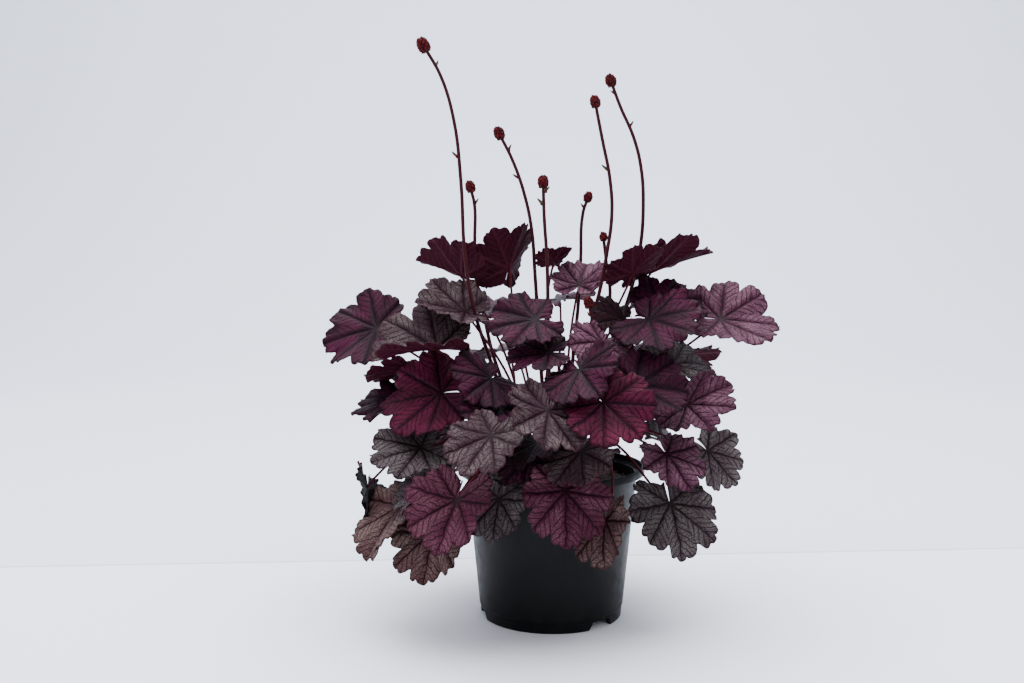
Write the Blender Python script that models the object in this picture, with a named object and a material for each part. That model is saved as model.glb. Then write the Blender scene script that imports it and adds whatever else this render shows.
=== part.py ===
# Potted heuchera: a black nursery pot with soil, a woody crown, flower stalks and waved, lobed leaves.
# Lengths are written in millimetres and turned to metres where a mesh is made.
import bpy
import bmesh
import math
from mathutils import Vector
from mathutils.bvhtree import BVHTree

MM = 0.001
GAP = 0.35

# pot: a three litre container, turned about +Z, standing on a foot ring and a centre pad
POT_RIM_R = 95.0
POT_HEIGHT = 155.0
POT_WALL = 1.7
POT_TOP_R = 87.0
POT_BASE_R = 72.2
FOOT_STEP_Z = 12.0
FLOOR_UNDER_Z = 9.5
FLOOR_TOP_Z = 11.5
CENTRE_PAD_R = 14.0
POT_SEGMENTS = 24
NOTCH_WIDTH = 34.0
NOTCH_HEIGHT = 8.4
NOTCH_ANGLES = (44.0, 164.0, 284.0)
DRAIN_R = 5.0
DRAIN_RING_R = 46.0
DRAIN_COUNT = 4

SOIL_TOP_Z = 139.0
CROWN_R = 57.0
CROWN_TOP_Z = 153.0
ROOT_BOTTOM_Z = 145.0
ROOT_SPACING = 6.35

BLADE_THICK = 0.8
PETIOLE_R = 1.45
STALK_R = 1.35

# lobes of a blade: angle from the tip, reach as a share of the blade's length
LOBES = ((0.0, 1.0), (40.0, 0.95), (81.0, 0.84), (126.0, 0.68))
SINUS_DEPTH = 0.24
BASE_ANGLE = 160.0
BASE_REACH = 0.44

BLACK_PLASTIC = (0.018, 0.018, 0.020)
FINISHES = {
    "silver": (0.36, 0.37, 0.33),
    "grey": (0.27, 0.29, 0.24),
    "mauve": (0.33, 0.19, 0.24),
    "plum": (0.11, 0.040, 0.065),
    "pink": (0.42, 0.11, 0.19),
    "magenta": (0.34, 0.045, 0.12),
    "brown": (0.20, 0.13, 0.13),
    "red": (0.20, 0.018, 0.035),
    "dark": (0.055, 0.030, 0.040),
}

# One row per leaf: name, finish, junction of stem and blade (x, y, z), heading of the tip
# (0 to the front, 90 to the right), pitch, roll, length to the tip, width share,
# fold of each half, droop of the tip, cupping, wave, phase
LEAVES = (
    ("leaf_pink_front", "pink", (13, -122, 154), 4, -68, 10, 52, 0.98, 7, 22, 0.02, 0.05, 0.3),
    ("leaf_pink_fold", "pink", (-86, -138, 148), -26, -50, 8, 55, 0.98, 30, 14, 0.00, 0.05, 2.1),
    ("leaf_silver_left", "silver", (-54, -150, 210), -42, -44, 10, 47, 1.0, 6, 18, 0.04, 0.05, 0.9),
    ("leaf_silver_mid", "silver", (-3, -146, 232), -4, -38, 26, 49, 1.0, 4, 14, 0.10, 0.06, 1.7),
    ("leaf_magenta_mid", "magenta", (46, -142, 234), 45, -36, -38, 50, 1.0, 6, 20, 0.03, 0.06, 3.0),
    ("leaf_plum_mid", "plum", (25, -116, 261), 16, -24, -38, 49, 1.0, 6, 18, 0.02, 0.05, 4.2),
    ("leaf_plum_right", "plum", (79, -105, 249), 92, -6, -44, 50, 1.0, 10, 16, 0.00, 0.06, 5.0),
    ("leaf_magenta_left", "magenta", (-107, -62, 236), -98, -16, 46, 62, 1.0, 5, 18, 0.00, 0.06, 0.6),
    ("leaf_grey_left", "grey", (-126, -72, 184), -62, -14, 28, 50, 1.0, 6, 20, 0.00, 0.06, 1.1),
    ("leaf_grey_left_low", "grey", (-101, -104, 167), -90, -30, 22, 50, 1.0, 8, 18, 0.00, 0.06, 2.6),
    ("leaf_brown_left", "brown", (-108, -108, 114), -20, -52, -12, 55, 1.0, 6, 16, 0.00, 0.06, 3.3),
    ("leaf_brown_far_left", "brown", (-137, -74, 126), -52, -48, -5, 62, 0.96, 10, 14, 0.00, 0.06, 4.0),
    ("leaf_dark_edge_left", "dark", (-176, -20, 130), 22, -50, 55, 44, 1.0, 16, 18, 0.00, 0.05, 5.1),
    ("leaf_grey_front_low", "grey", (-49, -106, 142), -18, -60, -16, 42, 1.0, 8, 18, 0.00, 0.06, 0.2),
    ("leaf_dark_small", "plum", (-9, -100, 181), -50, -42, 4, 36, 1.0, 8, 16, 0.00, 0.05, 1.4),
    ("leaf_silver_low", "silver", (27, -116, 179), 0, -32, -22, 45, 1.0, 6, 18, 0.02, 0.05, 2.2),
    ("leaf_brown_right", "brown", (46, -102, 124), -20, -66, -28, 45, 1.0, 16, 20, 0.00, 0.06, 3.7),
    ("leaf_grey_right_low", "grey", (111, -60, 129), 20, -54, 5, 57, 1.0, 5, 16, 0.00, 0.06, 4.6),
    ("leaf_mauve_right", "mauve", (108, -96, 184), 48, -46, -14, 41, 1.0, 6, 18, 0.02, 0.06, 5.5),
    ("leaf_grey_far_right", "grey", (155, -30, 175), 74, -52, -38, 43, 1.0, 6, 16, 0.00, 0.07, 0.8),
    ("leaf_mauve_up_right", "mauve", (129, -72, 227), 54, 0, -38, 49, 1.0, 8, 18, 0.00, 0.06, 1.9),
    ("leaf_plum_far_left", "plum", (-180, 8, 293), -96, -18, 44, 60, 1.0, 8, 18, 0.00, 0.06, 2.9),
    ("leaf_silver_fold_left", "silver", (-117, -42, 277), -88, -8, 20, 66, 1.0, 38, 14, 0.00, 0.05, 3.6),
    ("leaf_silver_up_left", "silver", (-92, -10, 312), -80, 12, 28, 51, 1.0, 16, 10, 0.05, 0.05, 4.4),
    ("leaf_red_up_left", "red", (-83, 22, 346), -98, 20, -32, 51, 1.0, 26, 8, 0.05, 0.05, 5.3),
    ("leaf_red_top", "red", (-45, 42, 354), 52, 64, 6, 50, 1.0, 30, 12, 0.00, 0.06, 0.5),
    ("leaf_purple_top", "plum", (-16, -60, 307), -72, -12, 34, 47, 1.0, 6, 16, 0.00, 0.06, 1.5),
    ("leaf_purple_under_top", "plum", (-2, -66, 278), -92, -10, 28, 41, 1.0, 8, 14, 0.00, 0.05, 2.5),
    ("leaf_plum_left_mid", "plum", (-58, -74, 252), -28, -18, 38, 46, 1.0, 6, 16, 0.00, 0.06, 3.5),
    ("leaf_grey_up_right", "grey", (120, -22, 260), 118, -2, -30, 45, 1.0, 8, 16, 0.00, 0.05, 4.5),
    ("leaf_red_top_right", "red", (101, 30, 350), 88, 20, 16, 66, 0.96, 16, 8, 0.02, 0.06, 5.6),
    ("leaf_purple_up_right", "plum", (108, -2, 334), 112, 6, -34, 50, 1.0, 6, 16, 0.00, 0.06, 0.1),
    ("leaf_purple_right", "plum", (93, -56, 308), 46, -14, -34, 54, 1.0, 6, 16, 0.00, 0.06, 1.2),
    ("leaf_dark_up_mid", "dark", (70, -24, 306), -48, -6, 36, 38, 1.0, 6, 12, 0.00, 0.05, 2.3),
    ("leaf_mauve_far_right", "mauve", (172, 0, 303), 88, -8, -36, 60, 1.0, 14, 14, 0.02, 0.06, 3.4),
    ("leaf_red_top_mid", "red", (62, 4, 334), 63, 40, 6, 42, 1.0, 12, 8, 0.03, 0.05, 4.1),
    ("leaf_pink_top", "mauve", (27, 10, 338), 163, 36, 0, 36, 1.0, 14, 8, 0.06, 0.05, 5.2),
    ("leaf_bud_top", "red", (1, 22, 356), 31, 36, 0, 25, 0.98, 22, 6, 0.03, 0.04, 0.7),
    ("leaf_mauve_mid", "mauve", (46, -58, 286), -26, -28, 34, 40, 1.0, 6, 14, 0.00, 0.05, 1.6),
)

# leaves whose stem reaches the blade from below, clear of its base lobes: depth of the arch in mm
FROM_BELOW = {
    "leaf_dark_small": 12,
    "leaf_grey_right_low": 14,
    "leaf_purple_under_top": 10,
    "leaf_dark_edge_left": 10,
    "leaf_grey_far_right": 10,
}

# Side shoots of the far half, each with two leaves on one short woody foot:
# name, azimuth of the shoot, then finish, reach, height and length of each leaf
SHOOTS = (
    ("shoot_front", -17, (("plum", 104, 226, 46), ("dark", 84, 194, 42))),
    ("shoot_right_back", 112, (("plum", 128, 262, 60), ("grey", 140, 168, 58))),
    ("shoot_back_right", 138, (("silver", 108, 312, 60), ("brown", 146, 216, 62))),
    ("shoot_back_right_low", 160, (("mauve", 142, 258, 60), ("grey", 138, 150, 62))),
    ("shoot_back", 184, (("plum", 100, 318, 58), ("magenta", 150, 205, 62))),
    ("shoot_back_left", 208, (("silver", 140, 262, 62), ("brown", 134, 152, 60))),
    ("shoot_back_left_high", 232, (("plum", 96, 308, 58), ("mauve", 152, 212, 60))),
    ("shoot_left_back", 256, (("grey", 146, 170, 60), ("magenta", 138, 250, 58))),
    ("shoot_far_left", 276, (("plum", 150, 232, 56), ("dark", 128, 182, 46))),
)

# Flower stalks: name, points from the crown upwards (x, y, z), bud cluster radius, bracts as
# (height, azimuth, length)
STALKS = (
    ("stalk_tall_left", ((-62, -8, 262), (-78, -12, 313), (-87, -8, 363), (-92, 0, 444), (-99, 4, 503),
                         (-112, 6, 547), (-129, 6, 577)), 7.4, ((556, 60, 9), (466, -70, 10))),
    ("stalk_left", ((-60, 22, 262), (-70, 28, 303), (-79, 30, 348), (-80, 30, 383), (-80, 28, 419),
                    (-84, 26, 437)), 5.6, ((420, 75, 9),)),
    ("stalk_mid_left", ((-12, 30, 262), (-16, 34, 323), (-18, 34, 353), (-21, 30, 393), (-28, 26, 428),
                        (-40, 24, 463), (-54, 24, 491)), 6.2, ((474, 70, 9), (446, -80, 9))),
    ("stalk_mid", ((-3, -14, 262), (-4, -18, 323), (-5, -18, 363), (-8, -16, 408), (-9, -16, 440)),
     6.0, ((430, 80, 10), (418, -70, 11))),
    ("stalk_mid_right", ((20, 38, 240), (24, 46, 277), (28, 48, 320), (30, 48, 363), (32, 46, 411),
                         (37, 44, 427)), 5.0, ((416, -80, 8),)),
    ("stalk_tall_mid", ((30, -8, 250), (40, -14, 303), (48, -16, 335), (54, -16, 368), (59, -16, 408),
                        (57, -16, 443), (49, -16, 483), (42, -16, 518)), 5.6, ((452, -80, 10),)),
    ("stalk_tall_right", ((58, 22, 270), (78, 28, 320), (90, 26, 373), (93, 24, 418), (90, 22, 458),
                          (82, 20, 488), (69, 20, 517), (59, 20, 543)), 6.0, ((530, -80, 8), (497, 70, 9))),
    ("stalk_short", ((44, 20, 260), (60, 30, 323), (56, 32, 361), (53, 32, 386)), 4.2, ((370, 60, 7),)),
    ("stalk_bud", ((36, -34, 240), (43, -44, 277), (40, -42, 303), (36, -40, 322)), 5.2, ((310, -60, 7),)),
)


def clear_scene():
    for thing in list(bpy.data.objects):
        bpy.data.objects.remove(thing, do_unlink=True)


def material(name, colour, roughness):
    mat = bpy.data.materials.new(name)
    mat.use_nodes = True
    surface = mat.node_tree.nodes["Principled BSDF"]
    surface.inputs["Base Color"].default_value = (colour[0], colour[1], colour[2], 1.0)
    surface.inputs["Roughness"].default_value = roughness
    surface.inputs["Metallic"].default_value = 0.0
    return mat


def add_object(name, points, faces, mat=None, smooth=True):
    mesh = bpy.data.meshes.new(name)
    mesh.from_pydata([(p[0] * MM, p[1] * MM, p[2] * MM) for p in points], [], faces)
    mesh.validate()
    if smooth:
        mesh.shade_smooth()
        mesh.set_sharp_from_angle(angle=math.radians(40))
    thing = bpy.data.objects.new(name, mesh)
    bpy.context.scene.collection.objects.link(thing)
    if mat:
        mesh.materials.append(mat)
    return thing


def as_tool(thing):
    thing.hide_render = True
    thing.display_type = 'WIRE'
    return thing


def boolean(target, tool, operation, itself=False):
    step = target.modifiers.new(operation.title(), 'BOOLEAN')
    step.operation = operation
    step.solver = 'EXACT'
    step.use_self = itself
    step.object = as_tool(tool)


def turned(name, profile, segments, mat):
    """Closed turned solid: profile from a point on the axis, round the section, to the axis again."""
    points, faces = [], []
    rings = profile[1:-1]
    for r, z in rings:
        for i in range(segments):
            a = 2 * math.pi * (i + 0.5) / segments
            points.append((r * math.cos(a), r * math.sin(a), z))
    first, last = len(points), len(points) + 1
    points += [(0, 0, profile[0][1]), (0, 0, profile[-1][1])]
    for k in range(len(rings) - 1):
        for i in range(segments):
            j = (i + 1) % segments
            faces.append((k * segments + i, k * segments + j, (k + 1) * segments + j, (k + 1) * segments + i))
    top = (len(rings) - 1) * segments
    for i in range(segments):
        j = (i + 1) % segments
        faces.append((first, j, i))
        faces.append((last, top + i, top + j))
    return add_object(name, points, faces, mat)


def tube_mesh(path, radii, sides, points, faces):
    """Appends a closed tube with pointed ends along a path of vectors."""
    count = len(path)
    base = len(points)
    side = Vector((1, 0, 0))
    for k in range(count):
        ahead = path[min(k + 1, count - 1)] - path[max(k - 1, 0)]
        ahead.normalize()
        side = (side - ahead * side.dot(ahead)).normalized()
        up = ahead.cross(side)
        for i in range(sides):
            a = 2 * math.pi * i / sides
            points.append(path[k] + (side * math.cos(a) + up * math.sin(a)) * radii[k])
    for k in range(count - 1):
        for i in range(sides):
            j = (i + 1) % sides
            low, high = base + k * sides, base + (k + 1) * sides
            faces.append((low + i, low + j, high + j))
            faces.append((low + i, high + j, high + i))
    last = base + (count - 1) * sides
    for i in range(1, sides - 1):
        faces.append((base, base + i + 1, base + i))
        faces.append((last, last + i, last + i + 1))


def blade_frame(heading, pitch, roll):
    h, p, r = math.radians(heading), math.radians(pitch), math.radians(roll)
    tip = Vector((math.sin(h) * math.cos(p), -math.cos(h) * math.cos(p), math.sin(p)))
    level = Vector((-math.cos(h), -math.sin(h), 0.0))
    normal = tip.cross(level)
    if normal.z < 0:
        normal = -normal
    side = normal.cross(tip)
    normal = normal * math.cos(r) + side * math.sin(r)
    return tip, normal.cross(tip), normal


def blade_point(leaf, junction, axes, angle, reach, share):
    """Point of the middle surface: angle from the tip, reach of the outline there, share of it."""
    length, width, fold, droop, cup, wave, phase = leaf
    tip, side, normal = axes
    a = math.cos(angle) * reach * share * length
    b = math.sin(angle) * reach * share * length * width
    half = math.radians(fold) * abs(b) / (abs(b) + 7.0)
    height = abs(b) * math.sin(half)
    b = b * math.cos(half)
    height += cup * length * share ** 3
    height += wave * length * share ** 2 * math.sin(5.0 * angle + phase)
    height += 0.5 * wave * length * share ** 3 * math.sin(9.0 * angle + 2.3 * phase)
    bend = math.radians(droop) / length
    turn = bend * a
    along = math.sin(turn) / bend
    down = (1.0 - math.cos(turn)) / bend
    along += height * math.sin(turn)
    rise = height * math.cos(turn) - down
    return junction + tip * along + side * b + normal * rise


def outline():
    """Angles and reaches round the blade: lobe points, shoulders and the sinuses between."""
    half = []
    for k, (angle, reach) in enumerate(LOBES):
        spread = 13.5 if k else 12.5
        if k:
            half.append((angle - spread, reach * 0.95))
        half.append((angle, reach))
        if k < len(LOBES) - 1:
            half.append((angle + spread, reach * 0.93))
        if k < len(LOBES) - 1:
            nxt = LOBES[k + 1]
            half.append(((angle + nxt[0]) / 2, (reach + nxt[1]) / 2 * (1 - SINUS_DEPTH)))
    half.append((BASE_ANGLE, BASE_REACH))
    left = [(-a, r) for a, r in reversed(half) if a > 0]
    return [(math.radians(a), r) for a, r in left + half]


OUTLINE = outline()
RING = (0, 1, 5, 9, 13, 17, 21, 25, 26)


def petiole_path(root, junction, leaf, axes, bow, dip, steps=5):
    """Rises from the crown, arches over and reaches the blade; gives the last direction too."""
    flat = Vector((junction.x - root.x, junction.y - root.y, 0))
    reach = flat.length
    out = flat.normalized() if reach > 1 else Vector((0, -1, 0))
    across = Vector((-out.y, out.x, 0))
    slope = math.radians(max(-48.0, min(74.0, (junction.z - 188.0) * 0.58)))
    heading = out * math.cos(slope) + Vector((0, 0, 1)) * math.sin(slope)
    heading = (heading * 0.62 + axes[0] * 0.38).normalized()
    chord = (junction - root).length
    start = root + Vector((0, 0, 9))
    rise = max(0.46 * (junction.z - root.z), 74.0 - 0.10 * (junction.z - root.z))
    p1 = start + Vector((0, 0, rise)) + out * 0.12 * reach + across * bow
    p2 = junction - heading * 0.36 * chord + across * bow
    if dip:
        # comes up to the blade from below
        p2 -= axes[2] * dip
        heading = (junction + across * bow - p2).normalized()
    path = [root.copy(), start]
    for k in range(1, steps):
        t = k / steps
        path.append(start * (1 - t) ** 3 + p1 * 3 * t * (1 - t) ** 2 + p2 * 3 * t * t * (1 - t) + junction * t ** 3)
    return path, heading


def leaf_mesh(leaf, junction, axes, root, bow, dip, fat=0.0):
    """Closed leaf: the same triangles above and below the blade, and a petiole welded into its sinus."""
    tip, side, normal = axes
    outer = [blade_point(leaf, junction, axes, a, r, 1.0) for a, r in OUTLINE]
    inner = [blade_point(leaf, junction, axes, OUTLINE[k][0], OUTLINE[k][1], 0.52) for k in RING]
    middle = outer + inner + [junction.copy()]
    count, ring0, hub = len(outer), len(outer), len(middle) - 1
    tris = []
    for n in range(len(RING) - 1):
        low, high = RING[n], RING[n + 1]
        half = (low + high) // 2
        tris.append((hub, ring0 + n, ring0 + n + 1))
        for k in range(low, half):
            tris.append((ring0 + n, k, k + 1))
        tris.append((ring0 + n, half, ring0 + n + 1))
        for k in range(half, high):
            tris.append((ring0 + n + 1, k, k + 1))
    normals = [Vector((0, 0, 0)) for _ in middle]
    for t in tris:
        face = (middle[t[1]] - middle[t[0]]).cross(middle[t[2]] - middle[t[0]])
        for v in t:
            normals[v] += face
    facing = 1.0 if sum((v.dot(normal) for v in normals)) > 0 else -1.0
    lift = [v.normalized() * facing * (BLADE_THICK / 2 + fat) for v in normals]
    total = len(middle)
    points = [m + d for m, d in zip(middle, lift)] + [m - d for m, d in zip(middle, lift)]
    faces = []
    for t in tris:
        faces.append(t)
        faces.append((t[0] + total, t[2] + total, t[1] + total))
    rim = list(range(count)) + [ring0 + len(RING) - 1]
    rim = [ring0] + rim
    for k in range(len(rim) - 1):
        i, j = rim[k], rim[k + 1]
        faces.append((i, i + total, j + total))
        faces.append((i, j + total, j))

    path, heading = petiole_path(root, junction, leaf, axes, bow, dip)
    radius = PETIOLE_R * 0.80 + fat
    up = (normal - heading * normal.dot(heading))
    if up.length < 0.15:
        up = -tip
    up.normalize()
    points[hub] = junction + up * radius + normal * 0.25
    points[hub + total] = junction - up * radius - normal * 0.45
    across = up.cross(heading).normalized()
    if across.dot(side) < 0:
        across = -across
    right, left = len(points), len(points) + 1
    points.append(junction + across * radius)
    points.append(junction - across * radius)
    first, last = ring0, ring0 + len(RING) - 1
    if (middle[last] - junction).dot(side) < 0:
        right, left = left, right
    faces += [(last, hub, right), (last, right, last + total), (right, hub + total, last + total)]
    faces += [(first, left, hub), (first, first + total, left), (left, first + total, hub + total)]
    ring = [hub, right, hub + total, left]
    spoke, way = up.copy(), heading.copy()
    lateral = (points[right] - junction).normalized()
    for k in range(len(path) - 1, -1, -1):
        ahead = (path[k + 1] if k + 1 < len(path) else junction) - path[max(k - 1, 0)]
        if k <= 1:
            ahead = Vector((0, 0, 1))
        ahead.normalize()
        if k == 1:
            # square to the axes in the socket, whichever way is nearest
            ways = [Vector((1, 0, 0)), Vector((-1, 0, 0)), Vector((0, 1, 0)), Vector((0, -1, 0))]
            hand = 1.0 if spoke.cross(lateral).dot(ahead) > 0 else -1.0
            spoke = max(ways, key=lambda w: w.dot(spoke))
            lateral = ahead.cross(spoke) * hand
        spoke = (spoke - ahead * spoke.dot(ahead)).normalized()
        lateral = (lateral - ahead * lateral.dot(ahead) - spoke * lateral.dot(spoke)).normalized()
        wide = PETIOLE_R * (1.0 - 0.022 * k) + fat
        nxt = list(range(len(points), len(points) + 4))
        for d in (spoke, lateral, -spoke, -lateral):
            points.append(path[k] + d * wide)
        for i in range(4):
            j = (i + 1) % 4
            faces.append((ring[i], nxt[i], nxt[j]))
            faces.append((ring[i], nxt[j], ring[j]))
        ring = nxt
    faces.append((ring[0], ring[3], ring[2]))
    faces.append((ring[0], ring[2], ring[1]))
    return points, faces


def placed(row, change):
    """Junction and axes of a leaf after the small change that clears it."""
    place, heading, pitch, roll = row[2:6]
    swing, lift, push, bow = change
    out = math.hypot(place[0], place[1])
    turn = math.atan2(place[1], place[0]) + math.radians(swing)
    junction = Vector(((out + push) * math.cos(turn), (out + push) * math.sin(turn), place[2] + lift))
    return junction, blade_frame(heading + swing, pitch + row[9] * 0.4, roll)


def leaf_shape(row, root, change, fat=0.0):
    junction, axes = placed(row, change)
    return leaf_mesh(row[6:], junction, axes, root, change[3], FROM_BELOW.get(row[0], 0), fat)


def tree_of(meshes):
    points, faces = [], []
    for p, f in meshes:
        base = len(points)
        points += p
        faces += [tuple(base + i for i in face) for face in f]
    return BVHTree.FromPolygons([tuple(v) for v in points], faces, epsilon=0.0)


def changes():
    """Small ways to bend a leaf clear of its neighbours, the least first."""
    options = []
    for swing in (0, 2, -2, 4, -4, 7, -7, 11, -11, 16, -16):
        for lift in (0, 5, -5, 10, -10, 16, -16, 23):
            for push in (0, 5, -5, 11, -11, 18, -18):
                for bow in (0, 9, -9, 18, -18):
                    effort = abs(swing) * 1.6 + abs(lift) * 0.7 + abs(push) * 0.7 + abs(bow) * 0.12
                    options.append((effort, swing, lift, push, bow))
    options.sort(key=lambda o: (o[0], o[1:]))
    return [o[1:] for o in options]


CHANGES = changes()


def settle(build, standing):
    """The first change whose thickened shape crosses nothing that already stands."""
    for change in CHANGES:
        tree = tree_of(build(change))
        if not any(tree.overlap(other) for other in standing):
            return change
    return None


def root_slots(count):
    golden = math.pi * (3 - math.sqrt(5))
    slots = []
    for k in range(count):
        r = ROOT_SPACING * math.sqrt(k + 0.6)
        slots.append((r * math.cos(k * golden), r * math.sin(k * golden)))
    return slots


def take_slot(slots, x, y, share):
    far = math.hypot(x, y)
    want = (x / far * share * 50, y / far * share * 50) if far > 1 else (0, 0)
    best = min(slots, key=lambda s: (s[0] - want[0]) ** 2 + (s[1] - want[1]) ** 2)
    slots.remove(best)
    return Vector((best[0], best[1], ROOT_BOTTOM_Z))


def stalk_path(root, points):
    route = [root, root + Vector((0, 0, 10))] + [Vector(p) for p in points]
    return route


def smooth_route(route, parts):
    """Catmull-Rom points through the route."""
    out = []
    for k in range(1, len(route)):
        p0 = route[max(k - 2, 0)]
        p1, p2 = route[k - 1], route[k]
        p3 = route[min(k + 1, len(route) - 1)]
        for n in range(parts):
            t = n / parts
            out.append(0.5 * ((2 * p1) + (p2 - p0) * t + (2 * p0 - 5 * p1 + 4 * p2 - p3) * t * t
                              + (3 * p1 - p0 - 3 * p2 + p3) * t ** 3))
    out.append(route[-1].copy())
    return out


def bud(centre, axis, length, radius, sides, points, faces):
    """A pointed bud: two rings of a spindle with an end point each way."""
    axis = axis.normalized()
    side = axis.orthogonal().normalized()
    up = axis.cross(side)
    base = len(points)
    for along, wide in ((-0.18, 1.0),):
        for i in range(sides):
            a = 2 * math.pi * i / sides
            points.append(centre + axis * along * length + (side * math.cos(a) + up * math.sin(a)) * radius * wide)
    points.append(centre - axis * length * 0.5)
    points.append(centre + axis * length * 0.5)
    for i in range(sides):
        j = (i + 1) % sides
        faces.append((base + sides, base + j, base + i))
        faces.append((base + sides + 1, base + i, base + j))


def stalk_parts(row, root):
    """Closed meshes of one stalk: stem, buds of the head and bracts, each crossing the next."""
    name, points, head, bracts = row
    route = smooth_route(stalk_path(root, points), 1)
    count = len(route)
    radii = [STALK_R * (1.0 - 0.35 * k / (count - 1)) for k in range(count)]
    parts = []
    p, f = [], []
    tube_mesh(route, radii, 4, p, f)
    parts.append((p, f))
    end = route[-1]
    axis = (route[-1] - route[-2]).normalized()
    side = axis.orthogonal().normalized()
    up = axis.cross(side)
    p, f = [], []
    bud(end + axis * head * 0.30, axis, head * 1.9, head * 0.62, 4, p, f)
    parts.append((p, f))
    for k in range(4):
        a = 2 * math.pi * (k + 0.3) / 4
        tilt = (side * math.cos(a) + up * math.sin(a))
        p, f = [], []
        bud(end + tilt * head * 0.46 - axis * head * (0.05 + 0.3 * (k % 2)), tilt + axis * 0.55,
            head * 1.15, head * 0.36, 4, p, f)
        parts.append((p, f))
    for z, azimuth, length in bracts:
        here = None
        for k in range(count - 1):
            if route[k].z <= z <= route[k + 1].z:
                t = (z - route[k].z) / (route[k + 1].z - route[k].z)
                here = route[k].lerp(route[k + 1], t)
                run = (route[k + 1] - route[k]).normalized()
        a = math.radians(azimuth)
        away = Vector((math.sin(a), -math.cos(a), 0))
        p, f = [], []
        aim = (away * 0.75 + run * 0.75).normalized()
        bud(here + aim * length * 0.40, aim, length, length * 0.20, 4, p, f)
        parts.append((p, f))
    return parts


def union_object(name, parts, mat):
    thing = add_object(name, parts[0][0], parts[0][1], mat)
    turn_out(thing)
    for k, (points, faces) in enumerate(parts[1:]):
        tool = add_object("%s_part_%d" % (name, k), points, faces, mat)
        turn_out(tool)
        boolean(thing, tool, 'UNION')
    return thing


def make_pot():
    wall = POT_WALL
    profile = (
        (0, 0), (CENTRE_PAD_R, 0), (CENTRE_PAD_R + 1.5, FLOOR_UNDER_Z),
        (POT_BASE_R - 7.5, FLOOR_UNDER_Z), (POT_BASE_R - 6, 0), (POT_BASE_R - 1.2, 0), (POT_BASE_R, 1.3),
        (POT_BASE_R + 0.9, FOOT_STEP_Z), (POT_BASE_R + 1.6, FOOT_STEP_Z + 0.6),
        (POT_TOP_R, POT_HEIGHT - 8.6), (POT_RIM_R - 0.6, POT_HEIGHT - 7.8), (POT_RIM_R, POT_HEIGHT - 7.0),
        (POT_RIM_R, POT_HEIGHT - 0.7), (POT_RIM_R - 0.7, POT_HEIGHT), (POT_RIM_R - 2.3, POT_HEIGHT),
        (POT_RIM_R - 2.6, POT_HEIGHT - 6.0), (POT_TOP_R - wall, POT_HEIGHT - 7.0),
        (POT_BASE_R + 1.6 - wall, FOOT_STEP_Z + 1.4), (POT_BASE_R - wall - 1.0, FLOOR_TOP_Z), (0, FLOOR_TOP_Z),
    )
    pot = turned("pot", profile, POT_SEGMENTS, material("moulded black plastic", BLACK_PLASTIC, 0.55))
    for k, angle in enumerate(NOTCH_ANGLES):
        a = math.radians(angle)
        out = Vector((math.sin(a), -math.cos(a), 0))
        across = Vector((math.cos(a), math.sin(a), 0))
        half = NOTCH_WIDTH / 2
        section = [(-half, -2.0), (half, -2.0), (half - 1.0, 3.5), (half - 6.0, NOTCH_HEIGHT),
                   (-half + 6.0, NOTCH_HEIGHT), (-half + 1.0, 3.5)]
        points = []
        for r in (55.0, 80.0):
            points += [out * r + across * x + Vector((0, 0, z)) for x, z in section]
        n = len(section)
        faces = [tuple(reversed(range(n))), tuple(range(n, 2 * n))]
        faces += [(i, (i + 1) % n, n + (i + 1) % n, n + i) for i in range(n)]
        tool = add_object("notch_%d" % k, points, faces)
        turn_out(tool)
        boolean(pot, tool, 'DIFFERENCE')
    for k in range(DRAIN_COUNT):
        a = 2 * math.pi * k / DRAIN_COUNT
        centre = Vector((DRAIN_RING_R * math.cos(a), DRAIN_RING_R * math.sin(a), 0))
        p, f = [], []
        tube_mesh([centre + Vector((0, 0, 5)), centre + Vector((0, 0, 16))], [DRAIN_R, DRAIN_R], 6, p, f)
        tool = add_object("drain_%d" % k, p, f)
        boolean(pot, tool, 'DIFFERENCE')
    return pot


def turn_out(thing):
    work = bmesh.new()
    work.from_mesh(thing.data)
    bmesh.ops.recalc_face_normals(work, faces=work.faces)
    work.to_mesh(thing.data)
    work.free()


def make_soil():
    wall = POT_WALL + GAP
    top_share = (SOIL_TOP_Z - FOOT_STEP_Z - 1.4) / (POT_HEIGHT - 7.0 - FOOT_STEP_Z - 1.4)
    low = POT_BASE_R + 1.6 - wall
    high = low + (POT_TOP_R - POT_BASE_R - 1.6) * top_share
    profile = ((0, FLOOR_TOP_Z + GAP), (low - 2.6, FLOOR_TOP_Z + GAP), (low, FOOT_STEP_Z + 1.6),
               (high - 0.1, SOIL_TOP_Z - 3.0), (high - 3.0, SOIL_TOP_Z - 0.8), (high - 14.0, SOIL_TOP_Z - 1.6),
               (CROWN_R + 4.0, SOIL_TOP_Z - 0.4), (CROWN_R - 6.0, SOIL_TOP_Z), (0, SOIL_TOP_Z))
    soil = turned("soil", profile, POT_SEGMENTS, material("peat compost", (0.060, 0.045, 0.036), 0.95))
    return soil


def make_crown(bases):
    points, faces = [], []
    profile = ((0, SOIL_TOP_Z + GAP), (CROWN_R - 4, SOIL_TOP_Z + GAP), (CROWN_R, SOIL_TOP_Z + 4.0),
               (CROWN_R - 2.5, CROWN_TOP_Z - 3.5), (CROWN_R - 9, CROWN_TOP_Z), (0, CROWN_TOP_Z + 1.5))
    crown = turned("crown", profile, 24, material("old crown bark", (0.10, 0.055, 0.045), 0.9))
    tools = []
    for k, (root, radius, sides) in enumerate(bases):
        p, f = [], []
        start = Vector((root.x, root.y, root.z - GAP))
        tube_mesh([start, start + Vector((0, 0, 22))], [radius, radius], sides, p, f)
        tools.append(add_object("socket_%d" % k, p, f))
    for tool in tools:
        boolean(crown, tool, 'DIFFERENCE')
    return crown


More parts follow.
